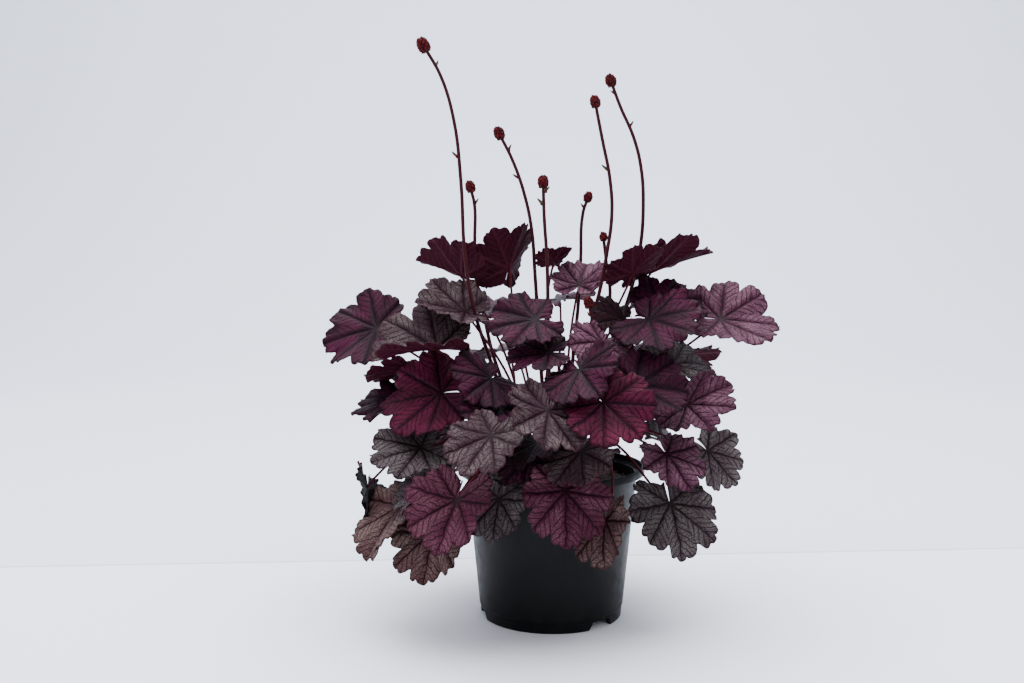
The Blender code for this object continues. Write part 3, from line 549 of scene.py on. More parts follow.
# one row per leaf, as in the solids: name, finish, junction of stem and blade, heading, pitch, roll,
# length, width, fold, droop, cup, wave, phase (millimetres and degrees)
leafRows = (
    ("leaf_pink_front", "pink", (13, -122, 154), 4, -68, 10, 52, 0.98, 7, 22, 0.02, 0.05, 0.3),
    ("leaf_pink_fold", "pink", (-86, -138, 148), -26, -50, 8, 55, 0.98, 30, 14, 0.00, 0.05, 2.1),
    ("leaf_silver_left", "silver", (-54, -150, 210), -42, -44, 10, 47, 1.0, 6, 18, 0.04, 0.05, 0.9),
    ("leaf_silver_mid", "silver", (-3, -146, 232), -4, -38, 26, 49, 1.0, 4, 14, 0.10, 0.06, 1.7),
    ("leaf_magenta_mid", "magenta", (46, -142, 234), 45, -36, -38, 50, 1.0, 6, 20, 0.03, 0.06, 3.0),
    ("leaf_plum_mid", "plum", (25, -116, 261), 16, -24, -38, 49, 1.0, 6, 18, 0.02, 0.05, 4.2),
    ("leaf_plum_right", "plum", (79, -105, 249), 92, -6, -44, 50, 1.0, 10, 16, 0.00, 0.06, 5.0),
    ("leaf_magenta_left", "magenta", (-107, -62, 236), -98, -16, 46, 62, 1.0, 5, 18, 0.00, 0.06, 0.6),
    ("leaf_grey_left", "grey", (-126, -72, 184), -62, -14, 28, 50, 1.0, 6, 20, 0.00, 0.06, 1.1),
    ("leaf_grey_left_low", "grey", (-101, -104, 167), -90, -30, 22, 50, 1.0, 8, 18, 0.00, 0.06, 2.6),
    ("leaf_brown_left", "brown", (-108, -108, 114), -20, -52, -12, 55, 1.0, 6, 16, 0.00, 0.06, 3.3),
    ("leaf_brown_far_left", "brown", (-137, -74, 126), -52, -48, -5, 62, 0.96, 10, 14, 0.00, 0.06, 4.0),
    ("leaf_dark_edge_left", "dark", (-176, -20, 130), 22, -50, 55, 44, 1.0, 16, 18, 0.00, 0.05, 5.1),
    ("leaf_grey_front_low", "grey", (-49, -106, 142), -18, -60, -16, 42, 1.0, 8, 18, 0.00, 0.06, 0.2),
    ("leaf_dark_small", "plum", (-9, -100, 181), -50, -42, 4, 36, 1.0, 8, 16, 0.00, 0.05, 1.4),
    ("leaf_silver_low", "silver", (27, -116, 179), 0, -32, -22, 45, 1.0, 6, 18, 0.02, 0.05, 2.2),
    ("leaf_brown_right", "brown", (46, -102, 124), -20, -66, -28, 45, 1.0, 16, 20, 0.00, 0.06, 3.7),
    ("leaf_grey_right_low", "grey", (111, -60, 129), 20, -54, 5, 57, 1.0, 5, 16, 0.00, 0.06, 4.6),
    ("leaf_mauve_right", "mauve", (108, -96, 184), 48, -46, -14, 41, 1.0, 6, 18, 0.02, 0.06, 5.5),
    ("leaf_grey_far_right", "grey", (155, -30, 175), 74, -52, -38, 43, 1.0, 6, 16, 0.00, 0.07, 0.8),
    ("leaf_mauve_up_right", "mauve", (129, -72, 227), 54, 0, -38, 49, 1.0, 8, 18, 0.00, 0.06, 1.9),
    ("leaf_plum_far_left", "plum", (-180, 8, 293), -96, -18, 44, 60, 1.0, 8, 18, 0.00, 0.06, 2.9),
    ("leaf_silver_fold_left", "silver", (-117, -42, 277), -88, -8, 20, 66, 1.0, 38, 14, 0.00, 0.05, 3.6),
    ("leaf_silver_up_left", "silver", (-92, -10, 312), -80, 12, 28, 51, 1.0, 16, 10, 0.05, 0.05, 4.4),
    ("leaf_red_up_left", "red", (-83, 22, 346), -98, 20, -32, 51, 1.0, 26, 8, 0.05, 0.05, 5.3),
    ("leaf_red_top", "red", (-45, 42, 354), 52, 64, 6, 50, 1.0, 30, 12, 0.00, 0.06, 0.5),
    ("leaf_purple_top", "plum", (-16, -60, 307), -72, -12, 34, 47, 1.0, 6, 16, 0.00, 0.06, 1.5),
    ("leaf_purple_under_top", "plum", (-2, -66, 278), -92, -10, 28, 41, 1.0, 8, 14, 0.00, 0.05, 2.5),
    ("leaf_plum_left_mid", "plum", (-58, -74, 252), -28, -18, 38, 46, 1.0, 6, 16, 0.00, 0.06, 3.5),
    ("leaf_grey_up_right", "grey", (120, -22, 260), 118, -2, -30, 45, 1.0, 8, 16, 0.00, 0.05, 4.5),
    ("leaf_red_top_right", "red", (101, 30, 350), 88, 20, 16, 66, 0.96, 16, 8, 0.02, 0.06, 5.6),
    ("leaf_purple_up_right", "plum", (108, -2, 334), 112, 6, -34, 50, 1.0, 6, 16, 0.00, 0.06, 0.1),
    ("leaf_purple_right", "plum", (93, -56, 308), 46, -14, -34, 54, 1.0, 6, 16, 0.00, 0.06, 1.2),
    ("leaf_dark_up_mid", "dark", (70, -24, 306), -48, -6, 36, 38, 1.0, 6, 12, 0.00, 0.05, 2.3),
    ("leaf_mauve_far_right", "mauve", (172, 0, 303), 88, -8, -36, 60, 1.0, 14, 14, 0.02, 0.06, 3.4),
    ("leaf_red_top_mid", "red", (62, 4, 334), 63, 40, 6, 42, 1.0, 12, 8, 0.03, 0.05, 4.1),
    ("leaf_pink_top", "mauve", (27, 10, 338), 163, 36, 0, 36, 1.0, 14, 8, 0.06, 0.05, 5.2),
    ("leaf_bud_top", "red", (1, 22, 356), 31, 36, 0, 25, 0.98, 22, 6, 0.03, 0.04, 0.7),
    ("leaf_mauve_mid", "mauve", (46, -58, 286), -26, -28, 34, 40, 1.0, 6, 14, 0.00, 0.05, 1.6),
)

shootRows = (
    ("shoot_front", -17, (("plum", 104, 226, 46), ("dark", 84, 194, 42))),
    ("shoot_right_back", 112, (("plum", 128, 262, 60), ("grey", 140, 168, 58))),
    ("shoot_back_right", 138, (("silver", 108, 312, 60), ("brown", 146, 216, 62))),
    ("shoot_back_right_low", 160, (("mauve", 142, 258, 60), ("grey", 138, 150, 62))),
    ("shoot_back", 184, (("plum", 100, 318, 58), ("magenta", 150, 205, 62))),
    ("shoot_back_left", 208, (("silver", 140, 262, 62), ("brown", 134, 152, 60))),
    ("shoot_back_left_high", 232, (("plum", 96, 308, 58), ("mauve", 152, 212, 60))),
    ("shoot_left_back", 256, (("grey", 146, 170, 60), ("magenta", 138, 250, 58))),
    ("shoot_far_left", 276, (("plum", 150, 232, 56), ("dark", 128, 182, 46))),
)

stalkRows = (
    ("stalk_tall_left", ((-62, -8, 262), (-78, -12, 313), (-87, -8, 363), (-92, 0, 444), (-99, 4, 503),
                         (-112, 6, 547), (-129, 6, 577)), 7.4, ((556, 60, 9), (466, -70, 10))),
    ("stalk_left", ((-60, 22, 262), (-70, 28, 303), (-79, 30, 348), (-80, 30, 383), (-80, 28, 419),
                    (-84, 26, 437)), 5.6, ((420, 75, 9),)),
    ("stalk_mid_left", ((-12, 30, 262), (-16, 34, 323), (-18, 34, 353), (-21, 30, 393), (-28, 26, 428),
                        (-40, 24, 463), (-54, 24, 491)), 6.2, ((474, 70, 9), (446, -80, 9))),
    ("stalk_mid", ((-3, -14, 262), (-4, -18, 323), (-5, -18, 363), (-8, -16, 408), (-9, -16, 440)),
     6.0, ((430, 80, 10), (418, -70, 11))),
    ("stalk_mid_right", ((20, 38, 240), (24, 46, 277), (28, 48, 320), (30, 48, 363), (32, 46, 411),
                         (37, 44, 427)), 5.0, ((416, -80, 8),)),
    ("stalk_tall_mid", ((30, -8, 250), (40, -14, 303), (48, -16, 335), (54, -16, 368), (59, -16, 408),
                        (57, -16, 443), (49, -16, 483), (42, -16, 518)), 5.6, ((452, -80, 10),)),
    ("stalk_tall_right", ((58, 22, 270), (78, 28, 320), (90, 26, 373), (93, 24, 418), (90, 22, 458),
                          (82, 20, 488), (69, 20, 517), (59, 20, 543)), 6.0, ((530, -80, 8), (497, 70, 9))),
    ("stalk_short", ((44, 20, 260), (60, 30, 323), (56, 32, 361), (53, 32, 386)), 4.2, ((370, 60, 7),)),
    ("stalk_bud", ((36, -34, 240), (43, -44, 277), (40, -42, 303), (36, -40, 322)), 5.2, ((310, -60, 7),)),
)

crownValues = {
    "rootBottom": 145.0,
    "rootSpacing": 6.35,
    "spareRoots": 6,
    "rim": (53.0, 139.4),  # radius and height where the crown leaves the compost
    "radius": 57.0,
    "shoulder": 143.0,
    "bulge": 10.5,
    "steps": 20,
    "segments": 110,
    "flakesAbove": 142.0,
    "oldStems": 2,  # old leaf bases beside each stem
    "oldStemFoot": 152.0,
}


def rootSlots():
    # places of the stems on the crown, in a golden-angle spiral
    c = crownValues
    golden = pi * (3 - sqrt(5))
    count = len(leafRows) + len(stalkRows) + len(shootRows) + c["spareRoots"]
    places = []
    for k in range(count):
        r = c["rootSpacing"] * sqrt(k + 0.6)
        places.append((r * cos(k * golden), r * sin(k * golden)))
    return places


def takeSlot(places, x, y, share):
    far = hypot(x, y)
    want = (x / far * share * 50, y / far * share * 50) if far > 1 else (0, 0)
    best = min(places, key=lambda s: (s[0] - want[0]) ** 2 + (s[1] - want[1]) ** 2)
    places.remove(best)
    return Vector((best[0], best[1], crownValues["rootBottom"]))


slots = rootSlots()
stalkRoots = {}
for row in stalkRows:
    x, y, z = row[1][0]
    stalkRoots[row[0]] = takeSlot(slots, x, y, 0.52 * min(1.0, hypot(x, y) / 60))
leafRoots = {}
for row in leafRows:
    x, y, z = row[2]
    leafRoots[row[0]] = takeSlot(slots, x, y, max(0.25, min(1.0, 1.15 - (z - 120) / 330.0)))
shootLeaves = {}
for name, azimuth, pair in shootRows:
    a = radians(azimuth)
    root = takeSlot(slots, sin(a) * 100, -cos(a) * 100, 0.92)
    rows = []
    for k, (finish, reach, height, length) in enumerate(pair):
        spread = azimuth + (-9, 9)[k]
        b = radians(spread)
        place = (sin(b) * reach, -cos(b) * reach, height)
        row = ("%s_%d" % (name, k), finish, place, spread + (14, -12)[k], -30 + (height - 150) * 0.16,
               (10, -12)[k], length, 0.98, 7, 17, 0.0, 0.06, 0.9 * k + azimuth * 0.05)
        own = root + Vector((cos(a), sin(a), 0)) * (-1.3, 1.3)[k] + Vector((0, 0, 3))
        rows.append((row, own))
    shootLeaves[name] = (root, rows)

stemSkin = stemMaterial("heuchera petiole, hairy skin", "#26030c", "#530c1c", 0.55)
underSkin = leafMaterial("red", True)
upperSkins = {key: leafMaterial(key) for key in leafFinishes}
print("leaf materials made:", len(upperSkins) + 2)

for row in leafRows:
    name, finish = row[0], row[1]
    tree = solidTree(name)
    change = readBend(row, tree, leafRoots[name])
    leaf = growLeaf(row, leafRoots[name], change, upperSkins[finish], underSkin, stemSkin)
    settle(leaf, name.replace("leaf_", "blade_"), name)
print("leaves grown:", len(leafRows))

for name, (root, rows) in shootLeaves.items():
    tree = solidTree(name)
    grown = []
    for row, own in rows:
        change = readBend(row, tree, own)
        grown.append(growLeaf(row, own, change, upperSkins[row[1]], underSkin, stemSkin))
    shoot = joinInto(grown[0], grown[1:])
    settle(shoot, name + "_grown", name)
print("side shoots grown:", len(shootLeaves))

stalkShape = {
    "radius": 2.1,
    "taper": 0.20,
    "budRadius": 1.75,
    "budLength": 3.7,
    "budsPerHead": 40,
    "coreShift": 0.20,  # shares of the head's radius
    "coreLength": 1.75,
    "coreRadius": 0.66,
    "headFrom": -0.75,  # the spiral of buds: where it starts and how far it runs, in the same shares
    "headSpan": 1.95,
    "headLong": 0.95,
    "headWide": 1.1,
    "turn": 2.39996,  # golden angle in radians, from bud to bud
    "sideBuds": 3,
    "collar": 5,  # bracts round the foot of the head
}

stalkSkin = stemMaterial("flower stalk, dark hairy skin", "#1a0208", "#3e0814", 0.55)
bractSkin = stemMaterial("dry bract", "#2e2119", "#483726", 0.7)


def budMaterial():
    # closed flower buds: matt, downy, wine red in two mottled tones
    mat, skin, where = newMaterial("flower bud, downy")
    spots = addNode(mat, "TexNoise", {"Scale": 420.0, "Detail": 2.0, "Vector": where})
    spread = addNode(mat, "MapRange", {"From Min": 0.38, "From Max": 0.62, "Value": spots})
    colour = addNode(mat, "Mix", {6: "#1c0206", 7: "#560a10", 0: spread})
    bump = addNode(mat, "Bump", {"Strength": 0.5, "Distance": 0.0004, "Height": spots})
    feed(skin, {"Roughness": 0.7, "Specular IOR Level": 0.1, "Sheen Weight": 0.02,
            "Base Color": colour.outputs[2], "Normal": bump})
    return mat


budSkin = budMaterial()


def makeBud(centre, axis, length, radius, mat, segments=7, rings=5):
    # one spindle shaped bud
    deselectAll()
    bpy.ops.mesh.primitive_uv_sphere_add(segments=segments, ring_count=rings, radius=1.0)
    one = bpy.context.active_object
    turn = Vector((0, 0, 1)).rotation_difference(axis.normalized())
    for v in one.data.vertices:
        z = v.co.z
        wide = radius * (1.0 - 0.35 * max(0.0, z))
        v.co = (centre + turn @ Vector((v.co.x * wide, v.co.y * wide, z * length / 2))) * mm
    one.data.materials.append(mat)
    return one


def routeCurve(points, radii, mat, resolution=6, sides=2):
    # smooth stem through the points, given a thickness
    deselectAll()
    bpy.ops.curve.primitive_bezier_curve_add()
    stem = bpy.context.active_object
    spline = stem.data.splines[0]
    spline.bezier_points.add(len(points) - 2)
    for knot, p, r in zip(spline.bezier_points, points, radii):
        knot.co = p * mm
        knot.handle_left_type = knot.handle_right_type = 'AUTO'
        knot.radius = r
    return thicken(stem, 1.0, resolution, sides, mat)


def growStalk(row, root):
    s = stalkShape
    name, points, head, bracts = row
    dice = random.Random(name)
    route = [root, root + Vector((0, 0, 10))] + [Vector(p) for p in points]
    last = len(route) - 1
    radii = [s["radius"] * (1.0 - s["taper"] * k / last) for k in range(last + 1)]
    stem = routeCurve(route, radii, stalkSkin)
    parts = []
    end = route[-1]
    axis = (route[-1] - route[-2]).normalized()
    side = axis.orthogonal().normalized()
    up = axis.cross(side)
    # the head: tight spiral of buds round the end of the stem
    count = int(s["budsPerHead"] * (head / 6.0) ** 1.5)
    for k in range(count):
        t = (k + 0.5) / count
        a = k * s["turn"] + dice.uniform(-0.2, 0.2)
        z = s["headFrom"] + s["headSpan"] * t
        wide = sqrt(max(0.0, 1 - ((z - 0.1) / 1.12) ** 2)) * 0.66
        out = side * cos(a) + up * sin(a)
        centre = end + axis * z * head * s["headLong"] + out * wide * head * s["headWide"]
        aim = out * (0.9 - 0.5 * t) + axis * (0.35 + 0.8 * t)
        size = dice.uniform(0.85, 1.15)
        parts.append(makeBud(centre, aim, s["budLength"] * size, s["budRadius"] * size, budSkin))
    # the solid core that the buds sit on
    parts.append(makeBud(end + axis * head * s["coreShift"], axis, head * s["coreLength"],
                         head * s["coreRadius"], budSkin, 10, 8))
    # bracts and small side buds under the head and down the stem
    for z, azimuth, length in bracts:
        for k in range(last):
            if route[k].z <= z <= route[k + 1].z:
                t = (z - route[k].z) / (route[k + 1].z - route[k].z)
                here = route[k].lerp(route[k + 1], t)
                run = (route[k + 1] - route[k]).normalized()
        a = radians(azimuth)
        away = Vector((sin(a), -cos(a), 0))
        aim = (away * 0.75 + run * 0.75).normalized()
        parts.append(makeBud(here + aim * length * 0.42, aim, length, length * 0.15, bractSkin))
        for n in range(s["sideBuds"]):
            spin = away + run * dice.uniform(0.2, 1.2) + away.cross(run) * dice.uniform(-0.9, 0.9)
            spin.normalize()
            reach = dice.uniform(1.5, 3.5)
            parts.append(makeBud(here + spin * reach, spin, 3.0, 1.1, budSkin))
    for n in range(s["collar"]):
        a = 2 * pi * n / s["collar"] + dice.uniform(-0.4, 0.4)
        aim = (side * cos(a) + up * sin(a)) * 0.8 - axis * 0.1
        parts.append(makeBud(end - axis * head * 0.72 + aim * head * 0.62, aim, head * 0.75, 0.7, bractSkin))
    stem = joinInto(stem, parts)
    stem.data.shade_smooth()
    return stem


for row in stalkRows:
    stalk = growStalk(row, stalkRoots[row[0]])
    settle(stalk, row[0] + "_grown", row[0])
print("flower stalks grown:", len(stalkRows))

potShape = {
    "segments": 128,
    "profile": ((14.0, 0.0), (15.5, 9.5), (64.7, 9.5), (65.9, 0.5), (66.4, 0.0), (70.6, 0.0), (71.5, 0.45),
                (72.1, 1.3), (73.05, 11.6), (73.2, 12.0), (73.8, 12.5), (86.9, 146.2), (87.6, 147.0),
                (94.1, 147.3), (94.8, 147.6), (95.0, 148.2), (95.0, 153.9), (94.7, 154.7), (94.1, 155.0),
                (93.0, 155.0), (92.55, 154.6), (92.4, 149.3), (91.6, 148.4), (85.9, 148.2), (85.3, 147.6),
                (72.2, 13.6), (71.2, 12.0), (69.5, 11.5)),
    "notchWidth": 34.0,
    "notchHeight": 8.4,
    "notchAngles": (44.0, 164.0, 284.0),
    "notchSlope": 6.0,
    "notchAt": 67.5,  # radius of the middle of the cut
    "notchThrough": 25.0,
    "drains": 4,
    "drainRing": 46.0,
    "drainRadius": 5.0,
    "drainHeight": 10.5,
    "drainDepth": 12.0,
    "crispAbove": 32,
}


def turnProfile(profile, segments):
    # circle extruded and scaled ring by ring up the profile
    deselectAll()
    r, z = profile[0]
    bpy.ops.mesh.primitive_circle_add(vertices=segments, radius=r * mm, fill_type='NGON',
                                      location=(0, 0, z * mm))
    body = bpy.context.active_object
    bpy.ops.object.transform_apply(location=True)
    bpy.ops.object.mode_set(mode='EDIT')
    bpy.ops.mesh.select_all(action='SELECT')
    for nextR, nextZ in profile[1:]:
        bpy.ops.mesh.extrude_region_move(TRANSFORM_OT_translate={"value": (0, 0, (nextZ - z) * mm)})
        if abs(nextR - r) > 1e-6:
            k = nextR / r
            bpy.ops.transform.resize(value=(k, k, 1.0))
        r, z = nextR, nextZ
    bpy.ops.mesh.select_all(action='SELECT')
    bpy.ops.mesh.normals_make_consistent(inside=False)
    bpy.ops.object.mode_set(mode='OBJECT')
    return body


def cutAway(body, tool):
    mod = body.modifiers.new("Cut", 'BOOLEAN')
    mod.operation = 'DIFFERENCE'
    mod.solver = 'EXACT'
    mod.object = tool
    pick(body)
    bpy.ops.object.modifier_apply(modifier=mod.name)
    bpy.data.objects.remove(tool)


def potMaterial():
    # black polypropylene, moulded with a fine satin grain: soft highlight, thin dust and dried water marks
    mat, skin, where = newMaterial("black polypropylene, moulded satin")
    grain = addNode(mat, "TexNoise", {"Scale": 1400.0, "Detail": 3.0, "Vector": where})
    dust = addNode(mat, "TexNoise", {"Scale": 55.0, "Detail": 6.0, "Roughness": 0.65, "Vector": where})
    place = addNode(mat, "SeparateXYZ", {0: where})
    low = addNode(mat, "MapRange", {"From Min": 0.0, "From Max": 0.05, "To Min": 1.0, "To Max": 0.35,
            "Value": place.outputs["Z"]})
    film = addNode(mat, "MapRange", {"From Min": 0.45, "From Max": 0.75, "Value": dust})
    amount = addNode(mat, "Math", {"operation": 'MULTIPLY', 0: film, 1: low})
    tint = addNode(mat, "Math", {"operation": 'MULTIPLY', 1: 0.16, 0: amount})
    colour = addNode(mat, "Mix", {6: "#020203", 7: "#2a2a29", 0: tint})
    rough = addNode(mat, "MapRange", {"To Min": 0.42, "To Max": 0.62, "Value": film})
    # faint drawn lines run round the wall, as left by the mould
    drawn = addNode(mat, "Mapping", {"Scale": (0.02, 0.02, 1.0), "Vector": where})
    lines = addNode(mat, "TexNoise", {"Scale": 700.0, "Detail": 2.0, "Vector": drawn})
    both = addNode(mat, "Math", {"operation": 'MULTIPLY_ADD', 1: 0.4, 0: lines, 2: grain})
    bump = addNode(mat, "Bump", {"Strength": 0.25, "Distance": 0.0002, "Height": both})
    feed(skin, {"IOR": 1.49, "Specular IOR Level": 0.12, "Roughness": rough, "Base Color": colour.outputs[2],
            "Normal": bump})
    return mat


p = potShape
pot = turnProfile(p["profile"], p["segments"])
for angle in p["notchAngles"]:
    # a sloped-sided slot through the foot ring
    a = radians(angle)
    bpy.ops.mesh.primitive_cube_add(size=1.0, location=(0.0, 0.0, 0.0))
    slot = bpy.context.active_object
    half, tall = p["notchWidth"] / 2, p["notchHeight"]
    out = Vector((sin(a), -cos(a), 0))
    across = Vector((cos(a), sin(a), 0))
    for v in slot.data.vertices:
        wide = half if v.co.z < 0 else half - p["notchSlope"]
        v.co = (out * (p["notchAt"] + v.co.x * p["notchThrough"]) + across * (wide if v.co.y > 0 else -wide)
                + Vector((0, 0, tall if v.co.z > 0 else -2.0))) * mm
    cutAway(pot, slot)
for k in range(p["drains"]):
    a = 2 * pi / p["drains"] * k
    place = (p["drainRing"] * cos(a) * mm, p["drainRing"] * sin(a) * mm, p["drainHeight"] * mm)
    bpy.ops.mesh.primitive_cylinder_add(vertices=24, radius=p["drainRadius"] * mm, depth=p["drainDepth"] * mm,
                                        location=place)
    cutAway(pot, bpy.context.active_object)
smoothUpTo(pot, p["crispAbove"])
pot.data.materials.append(potMaterial())
settle(pot, "nurseryPot", "pot")
print("pot made")

soilShape = {
    "profile": ((69.0, 11.9), (71.0, 13.8), (83.0, 136.0), (80.0, 138.0)),
    "topRings": 22,
    "segments": 120,
    "top": 139.0,
    "middle": 80.0,
    "lumps": ((90.0, 0.6), (300.0, 0.5), (38.0, 0.5)),  # lumps to the metre and share
    "lump": 1.6,
    "lumpsAbove": 136.5,
    "wallRadius": 83.5,
    "calmEdge": 6.0,  # mm beside the wall where the lumps die out
    "crumbs": 420,
    "crumbSize": (0.8, 2.6),
    "crumbRing": (81.0, 0.42),  # outer radius, and where they start as a share of the area
    "crispAbove": 60,
}


def earthMaterial():
    # peat compost: matt, fibrous crumbs, near black when damp
    mat, skin, where = newMaterial("peat compost, damp")
    crumbs = addNode(mat, "TexVoronoi", {"Scale": 420.0, "feature": 'F1', "Vector": where})
    stain = addNode(mat, "TexNoise", {"Scale": 90.0, "Detail": 5.0, "Vector": where})
    colour = addNode(mat, "Mix", {6: "#17120f", 7: "#3c322c", 0: stain})
    pale = addNode(mat, "MapRange", {"From Min": 0.55, "From Max": 0.9, "To Max": 0.5, "Value": crumbs})
    fleck = addNode(mat, "Mix", {7: "#53473a", 0: pale, 6: colour.outputs[2]})
    bump = addNode(mat, "Bump", {"Strength": 0.9, "Distance": 0.0012, "Height": crumbs})
    feed(skin, {"Roughness": 0.92, "Base Color": fleck.outputs[2], "Normal": bump})
    return mat


def barkMaterial():
    # old crown: flaky brown bark with fibrous scales
    mat, skin, where = newMaterial("old crown bark, flaky")
    long = addNode(mat, "Mapping", {"Scale": (1.0, 1.0, 0.3), "Vector": where})
    fibre = addNode(mat, "TexNoise", {"Scale": 350.0, "Detail": 6.0, "Roughness": 0.7, "Vector": long})
    colour = addNode(mat, "Mix", {6: "#190f0c", 7: "#483227", 0: fibre})
    bump = addNode(mat, "Bump", {"Strength": 0.9, "Distance": 0.001, "Height": fibre})
    feed(skin, {"Roughness": 0.88, "Base Color": colour.outputs[2], "Normal": bump})
    return mat


s = soilShape
rings = [(s["middle"] * (1 - k / s["topRings"]) ** 0.9 + 0.6, s["top"]) for k in range(1, s["topRings"])]
soil = turnProfile(list(s["profile"]) + rings, s["segments"])
earthSkin = earthMaterial()
for v in soil.data.vertices:
    if v.co.z > s["lumpsAbove"] * mm:
        r = hypot(v.co.x, v.co.y)
        edge = min(1.0, max(0.0, (s["wallRadius"] * mm - r) / (s["calmEdge"] * mm)))
        swell = sum(noise.noise(v.co * scale) * size for scale, size in s["lumps"])
        v.co.z += (swell * s["lump"] - 0.9) * mm * edge
smoothUpTo(soil, s["crispAbove"])
soil.data.materials.append(earthSkin)

barkSkin = barkMaterial()
dice = random.Random(4)
crumbs = []
for k in range(s["crumbs"]):
    a = dice.uniform(0, 2 * pi)
    r = sqrt(dice.uniform(s["crumbRing"][1], 1.0)) * s["crumbRing"][0]
    size = dice.uniform(*s["crumbSize"])
    bpy.ops.mesh.primitive_ico_sphere_add(subdivisions=1, radius=1.0)
    crumb = bpy.context.active_object
    stretch = Vector((dice.uniform(0.6, 1.9), dice.uniform(0.5, 1.1), dice.uniform(0.3, 0.7))) * size
    turn = dice.uniform(0, pi)
    for v in crumb.data.vertices:
        q = Vector((v.co.x * stretch.x, v.co.y * stretch.y, v.co.z * stretch.z)) * dice.uniform(0.8, 1.15)
        x = q.x * cos(turn) - q.y * sin(turn) + r * cos(a)
        y = q.x * sin(turn) + q.y * cos(turn) + r * sin(a)
        v.co = Vector((x, y, q.z + s["top"] - 0.2)) * mm
    crumb.data.materials.append(barkSkin if k % 4 == 0 else earthSkin)
    crumbs.append(crumb)
soil = joinInto(soil, crumbs)
settle(soil, "compost", "soil")
print("compost made")

c = crownValues
crownRings = [(c["radius"] * (1 - k / c["steps"]) ** 0.8 + 0.5,
               c["shoulder"] + 0.5 + c["bulge"] * min(1.0, k / 6.0)) for k in range(1, c["steps"])]
crown = turnProfile([c["rim"], (c["radius"], c["shoulder"])] + crownRings, c["segments"])
for v in crown.data.vertices:
    if v.co.z > c["flakesAbove"] * mm:
        swell = abs(noise.noise(v.co * 140.0)) * 1.2 + noise.noise(v.co * 420.0) * 0.5
        v.co.z += (swell * 1.8 - 1.6) * mm
        v.co.x *= 1 + noise.noise(v.co * 200.0) * 0.02
        v.co.y *= 1 + noise.noise(v.co * 200.0) * 0.02
crown.data.materials.append(barkSkin)
smoothUpTo(crown, soilShape["crispAbove"])
# old leaf bases stand round the stems
scales = []
for root in list(leafRoots.values()) + [r for r, rows in shootLeaves.values()]:
    for n in range(c["oldStems"]):
        a = dice.uniform(0, 2 * pi)
        out = Vector((cos(a), sin(a), 0))
        aim = Vector((0, 0, 1)) + out * dice.uniform(0.1, 0.6)
        foot = Vector((root.x, root.y, c["oldStemFoot"])) + out * 2.4
        scales.append(makeBud(foot + aim * 2.0, aim, dice.uniform(6.0, 11.0), dice.uniform(0.9, 1.6),
                              barkSkin, 6, 4))
crown = joinInto(crown, scales)
settle(crown, "crownBark", "crown")
print("crown made")

studio = {
    "floor": "#f2f4fa",
    "wall": "#e3e8f4",
    # painted shade of the corner between floor and wall, drawn as a thin line on the flat sweep
    "seamShadeTone": "#b9bdc8",
    "cameraPlace": (0.0, -1.2, 0.390),
    "lens": 41.7,
    "pitch": 5.2,
    "yaw": 1.93,
    "seamLeft": (-0.647, 0.142),  # two points of the line between floor and wall tone, in metres
    "seamRight": (0.587, 0.268),
    "seamWidth": 0.004,
    "curveStart": 1.9,
    "curveRadius": 1.3,
    "sweepFrom": -4.0,
    "sweepLength": 11.0,
    "sweepHalfWidth": 5.0,
    "air": ("#e6eaf2", 0.94),  # colour and strength of the light from all round
    # each soft light: name, place, aim, size, watts and colour
    "lights": (("skyAbove", (0.0, 0.5, 2.8), (0, 0.4, 0), (4.0, 4.0), 316.0, "#f8faff"),
               ("windowLeft", (-2.4, -0.6, 1.7), (0, 0, 0.25), (1.6, 2.0), 27.0, "#f4f7ff"),
               ("frontFill", (1.2, -2.8, 1.6), (0, 0, 0.25), (2.0, 1.6), 17.0, "#ffffff")),
}


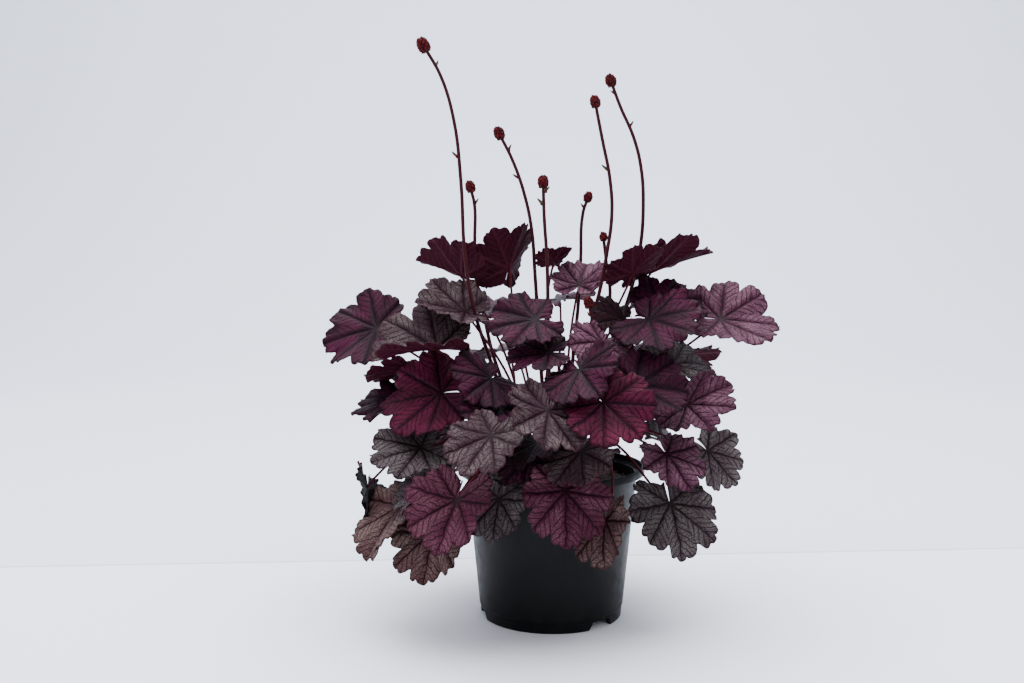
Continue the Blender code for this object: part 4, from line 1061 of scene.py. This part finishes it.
def sweepMaterial():
    # matt emulsion paint: near white floor, a thin darker line of painted shade along the seam where wall and
    # floor would meet, then the cooler wall tone
    mat, skin, where = newMaterial("matt painted sweep")
    place = addNode(mat, "SeparateXYZ", {0: where})
    (x0, y0), (x1, y1) = studio["seamLeft"], studio["seamRight"]
    slope = (y1 - y0) / (x1 - x0)
    run = addNode(mat, "Math", {"operation": 'MULTIPLY_ADD', 1: -slope, 0: place.outputs["X"],
            2: place.outputs["Y"]})
    past = addNode(mat, "Math", {"operation": 'SUBTRACT', 1: y0 - slope * x0, 0: run})
    wall = addNode(mat, "MapRange", {"From Min": 0.0, "From Max": 0.002, "Value": past})
    away = addNode(mat, "Math", {"operation": 'ABSOLUTE', 0: past})
    # a thin darker line along the seam: painted shade of the corner between floor and wall
    paintedSeamShade = addNode(mat, "MapRange", {"From Min": 0.25 * studio["seamWidth"], "From Max": studio["seamWidth"],
            "To Min": 0.75, "To Max": 0.0, "Value": away})
    mottle = addNode(mat, "TexNoise", {"Scale": 9.0, "Detail": 4.0, "Vector": where})
    shade = addNode(mat, "MapRange", {"To Min": 0.0, "To Max": 0.07, "Value": mottle})
    tone = addNode(mat, "Mix", {6: studio["floor"], 7: studio["wall"], 0: wall})
    withSeamShade = addNode(mat, "Mix", {7: studio["seamShadeTone"], 0: paintedSeamShade, 6: tone.outputs[2]})
    worn = addNode(mat, "Mix", {7: "#c9ccd6", 0: shade, 6: withSeamShade.outputs[2]})
    feed(skin, {"Roughness": 0.8, "Specular IOR Level": 0.2, "Base Color": worn.outputs[2]})
    return mat


deselectAll()
bpy.ops.mesh.primitive_grid_add(x_subdivisions=2, y_subdivisions=120, size=2.0)
sweep = bpy.context.active_object
sweep.name = "studioSweep"
start, radius = studio["curveStart"], studio["curveRadius"]
for v in sweep.data.vertices:
    # length along the sweep from the near edge, laid flat, round the curve, then up
    run = studio["sweepFrom"] + (v.co.y + 1) / 2 * studio["sweepLength"]
    turn = (run - start) / radius
    if turn <= 0:
        y, z = run, 0.0
    elif turn < pi / 2:
        y, z = start + radius * sin(turn), radius * (1 - cos(turn))
    else:
        y, z = start + radius, radius + (turn - pi / 2) * radius
    v.co = (v.co.x * studio["sweepHalfWidth"], y, z)
sweep.data.shade_smooth()
sweep.data.materials.append(sweepMaterial())


def softBox(name, place, target, size, watts, code):
    deselectAll()
    bpy.ops.object.light_add(type='AREA', location=place)
    lamp = bpy.context.active_object
    lamp.name = name
    lamp.data.shape = 'RECTANGLE'
    lamp.data.size, lamp.data.size_y = size
    lamp.data.energy = watts
    lamp.data.color = linear(code)[:3]
    lamp.rotation_euler = (Vector(target) - Vector(place)).to_track_quat('-Z', 'Y').to_euler()


for light in studio["lights"]:
    softBox(*light)

world = bpy.data.worlds.new("studioAir")
world.use_nodes = True
background = world.node_tree.nodes["Background"]
background.inputs[0].default_value = linear(studio["air"][0])
background.inputs[1].default_value = studio["air"][1]
bpy.context.scene.world = world

deselectAll()
bpy.ops.object.camera_add(location=studio["cameraPlace"])
camera = bpy.context.active_object
camera.name = "viewCamera"
camera.data.lens = studio["lens"]
camera.data.sensor_width = 36.0
yaw, pitch = radians(studio["yaw"]), radians(studio["pitch"])
forward = Vector((-sin(yaw) * cos(pitch), cos(yaw) * cos(pitch), -sin(pitch)))
camera.rotation_euler = forward.to_track_quat('-Z', 'Y').to_euler()
bpy.context.scene.camera = camera
print("studio set")
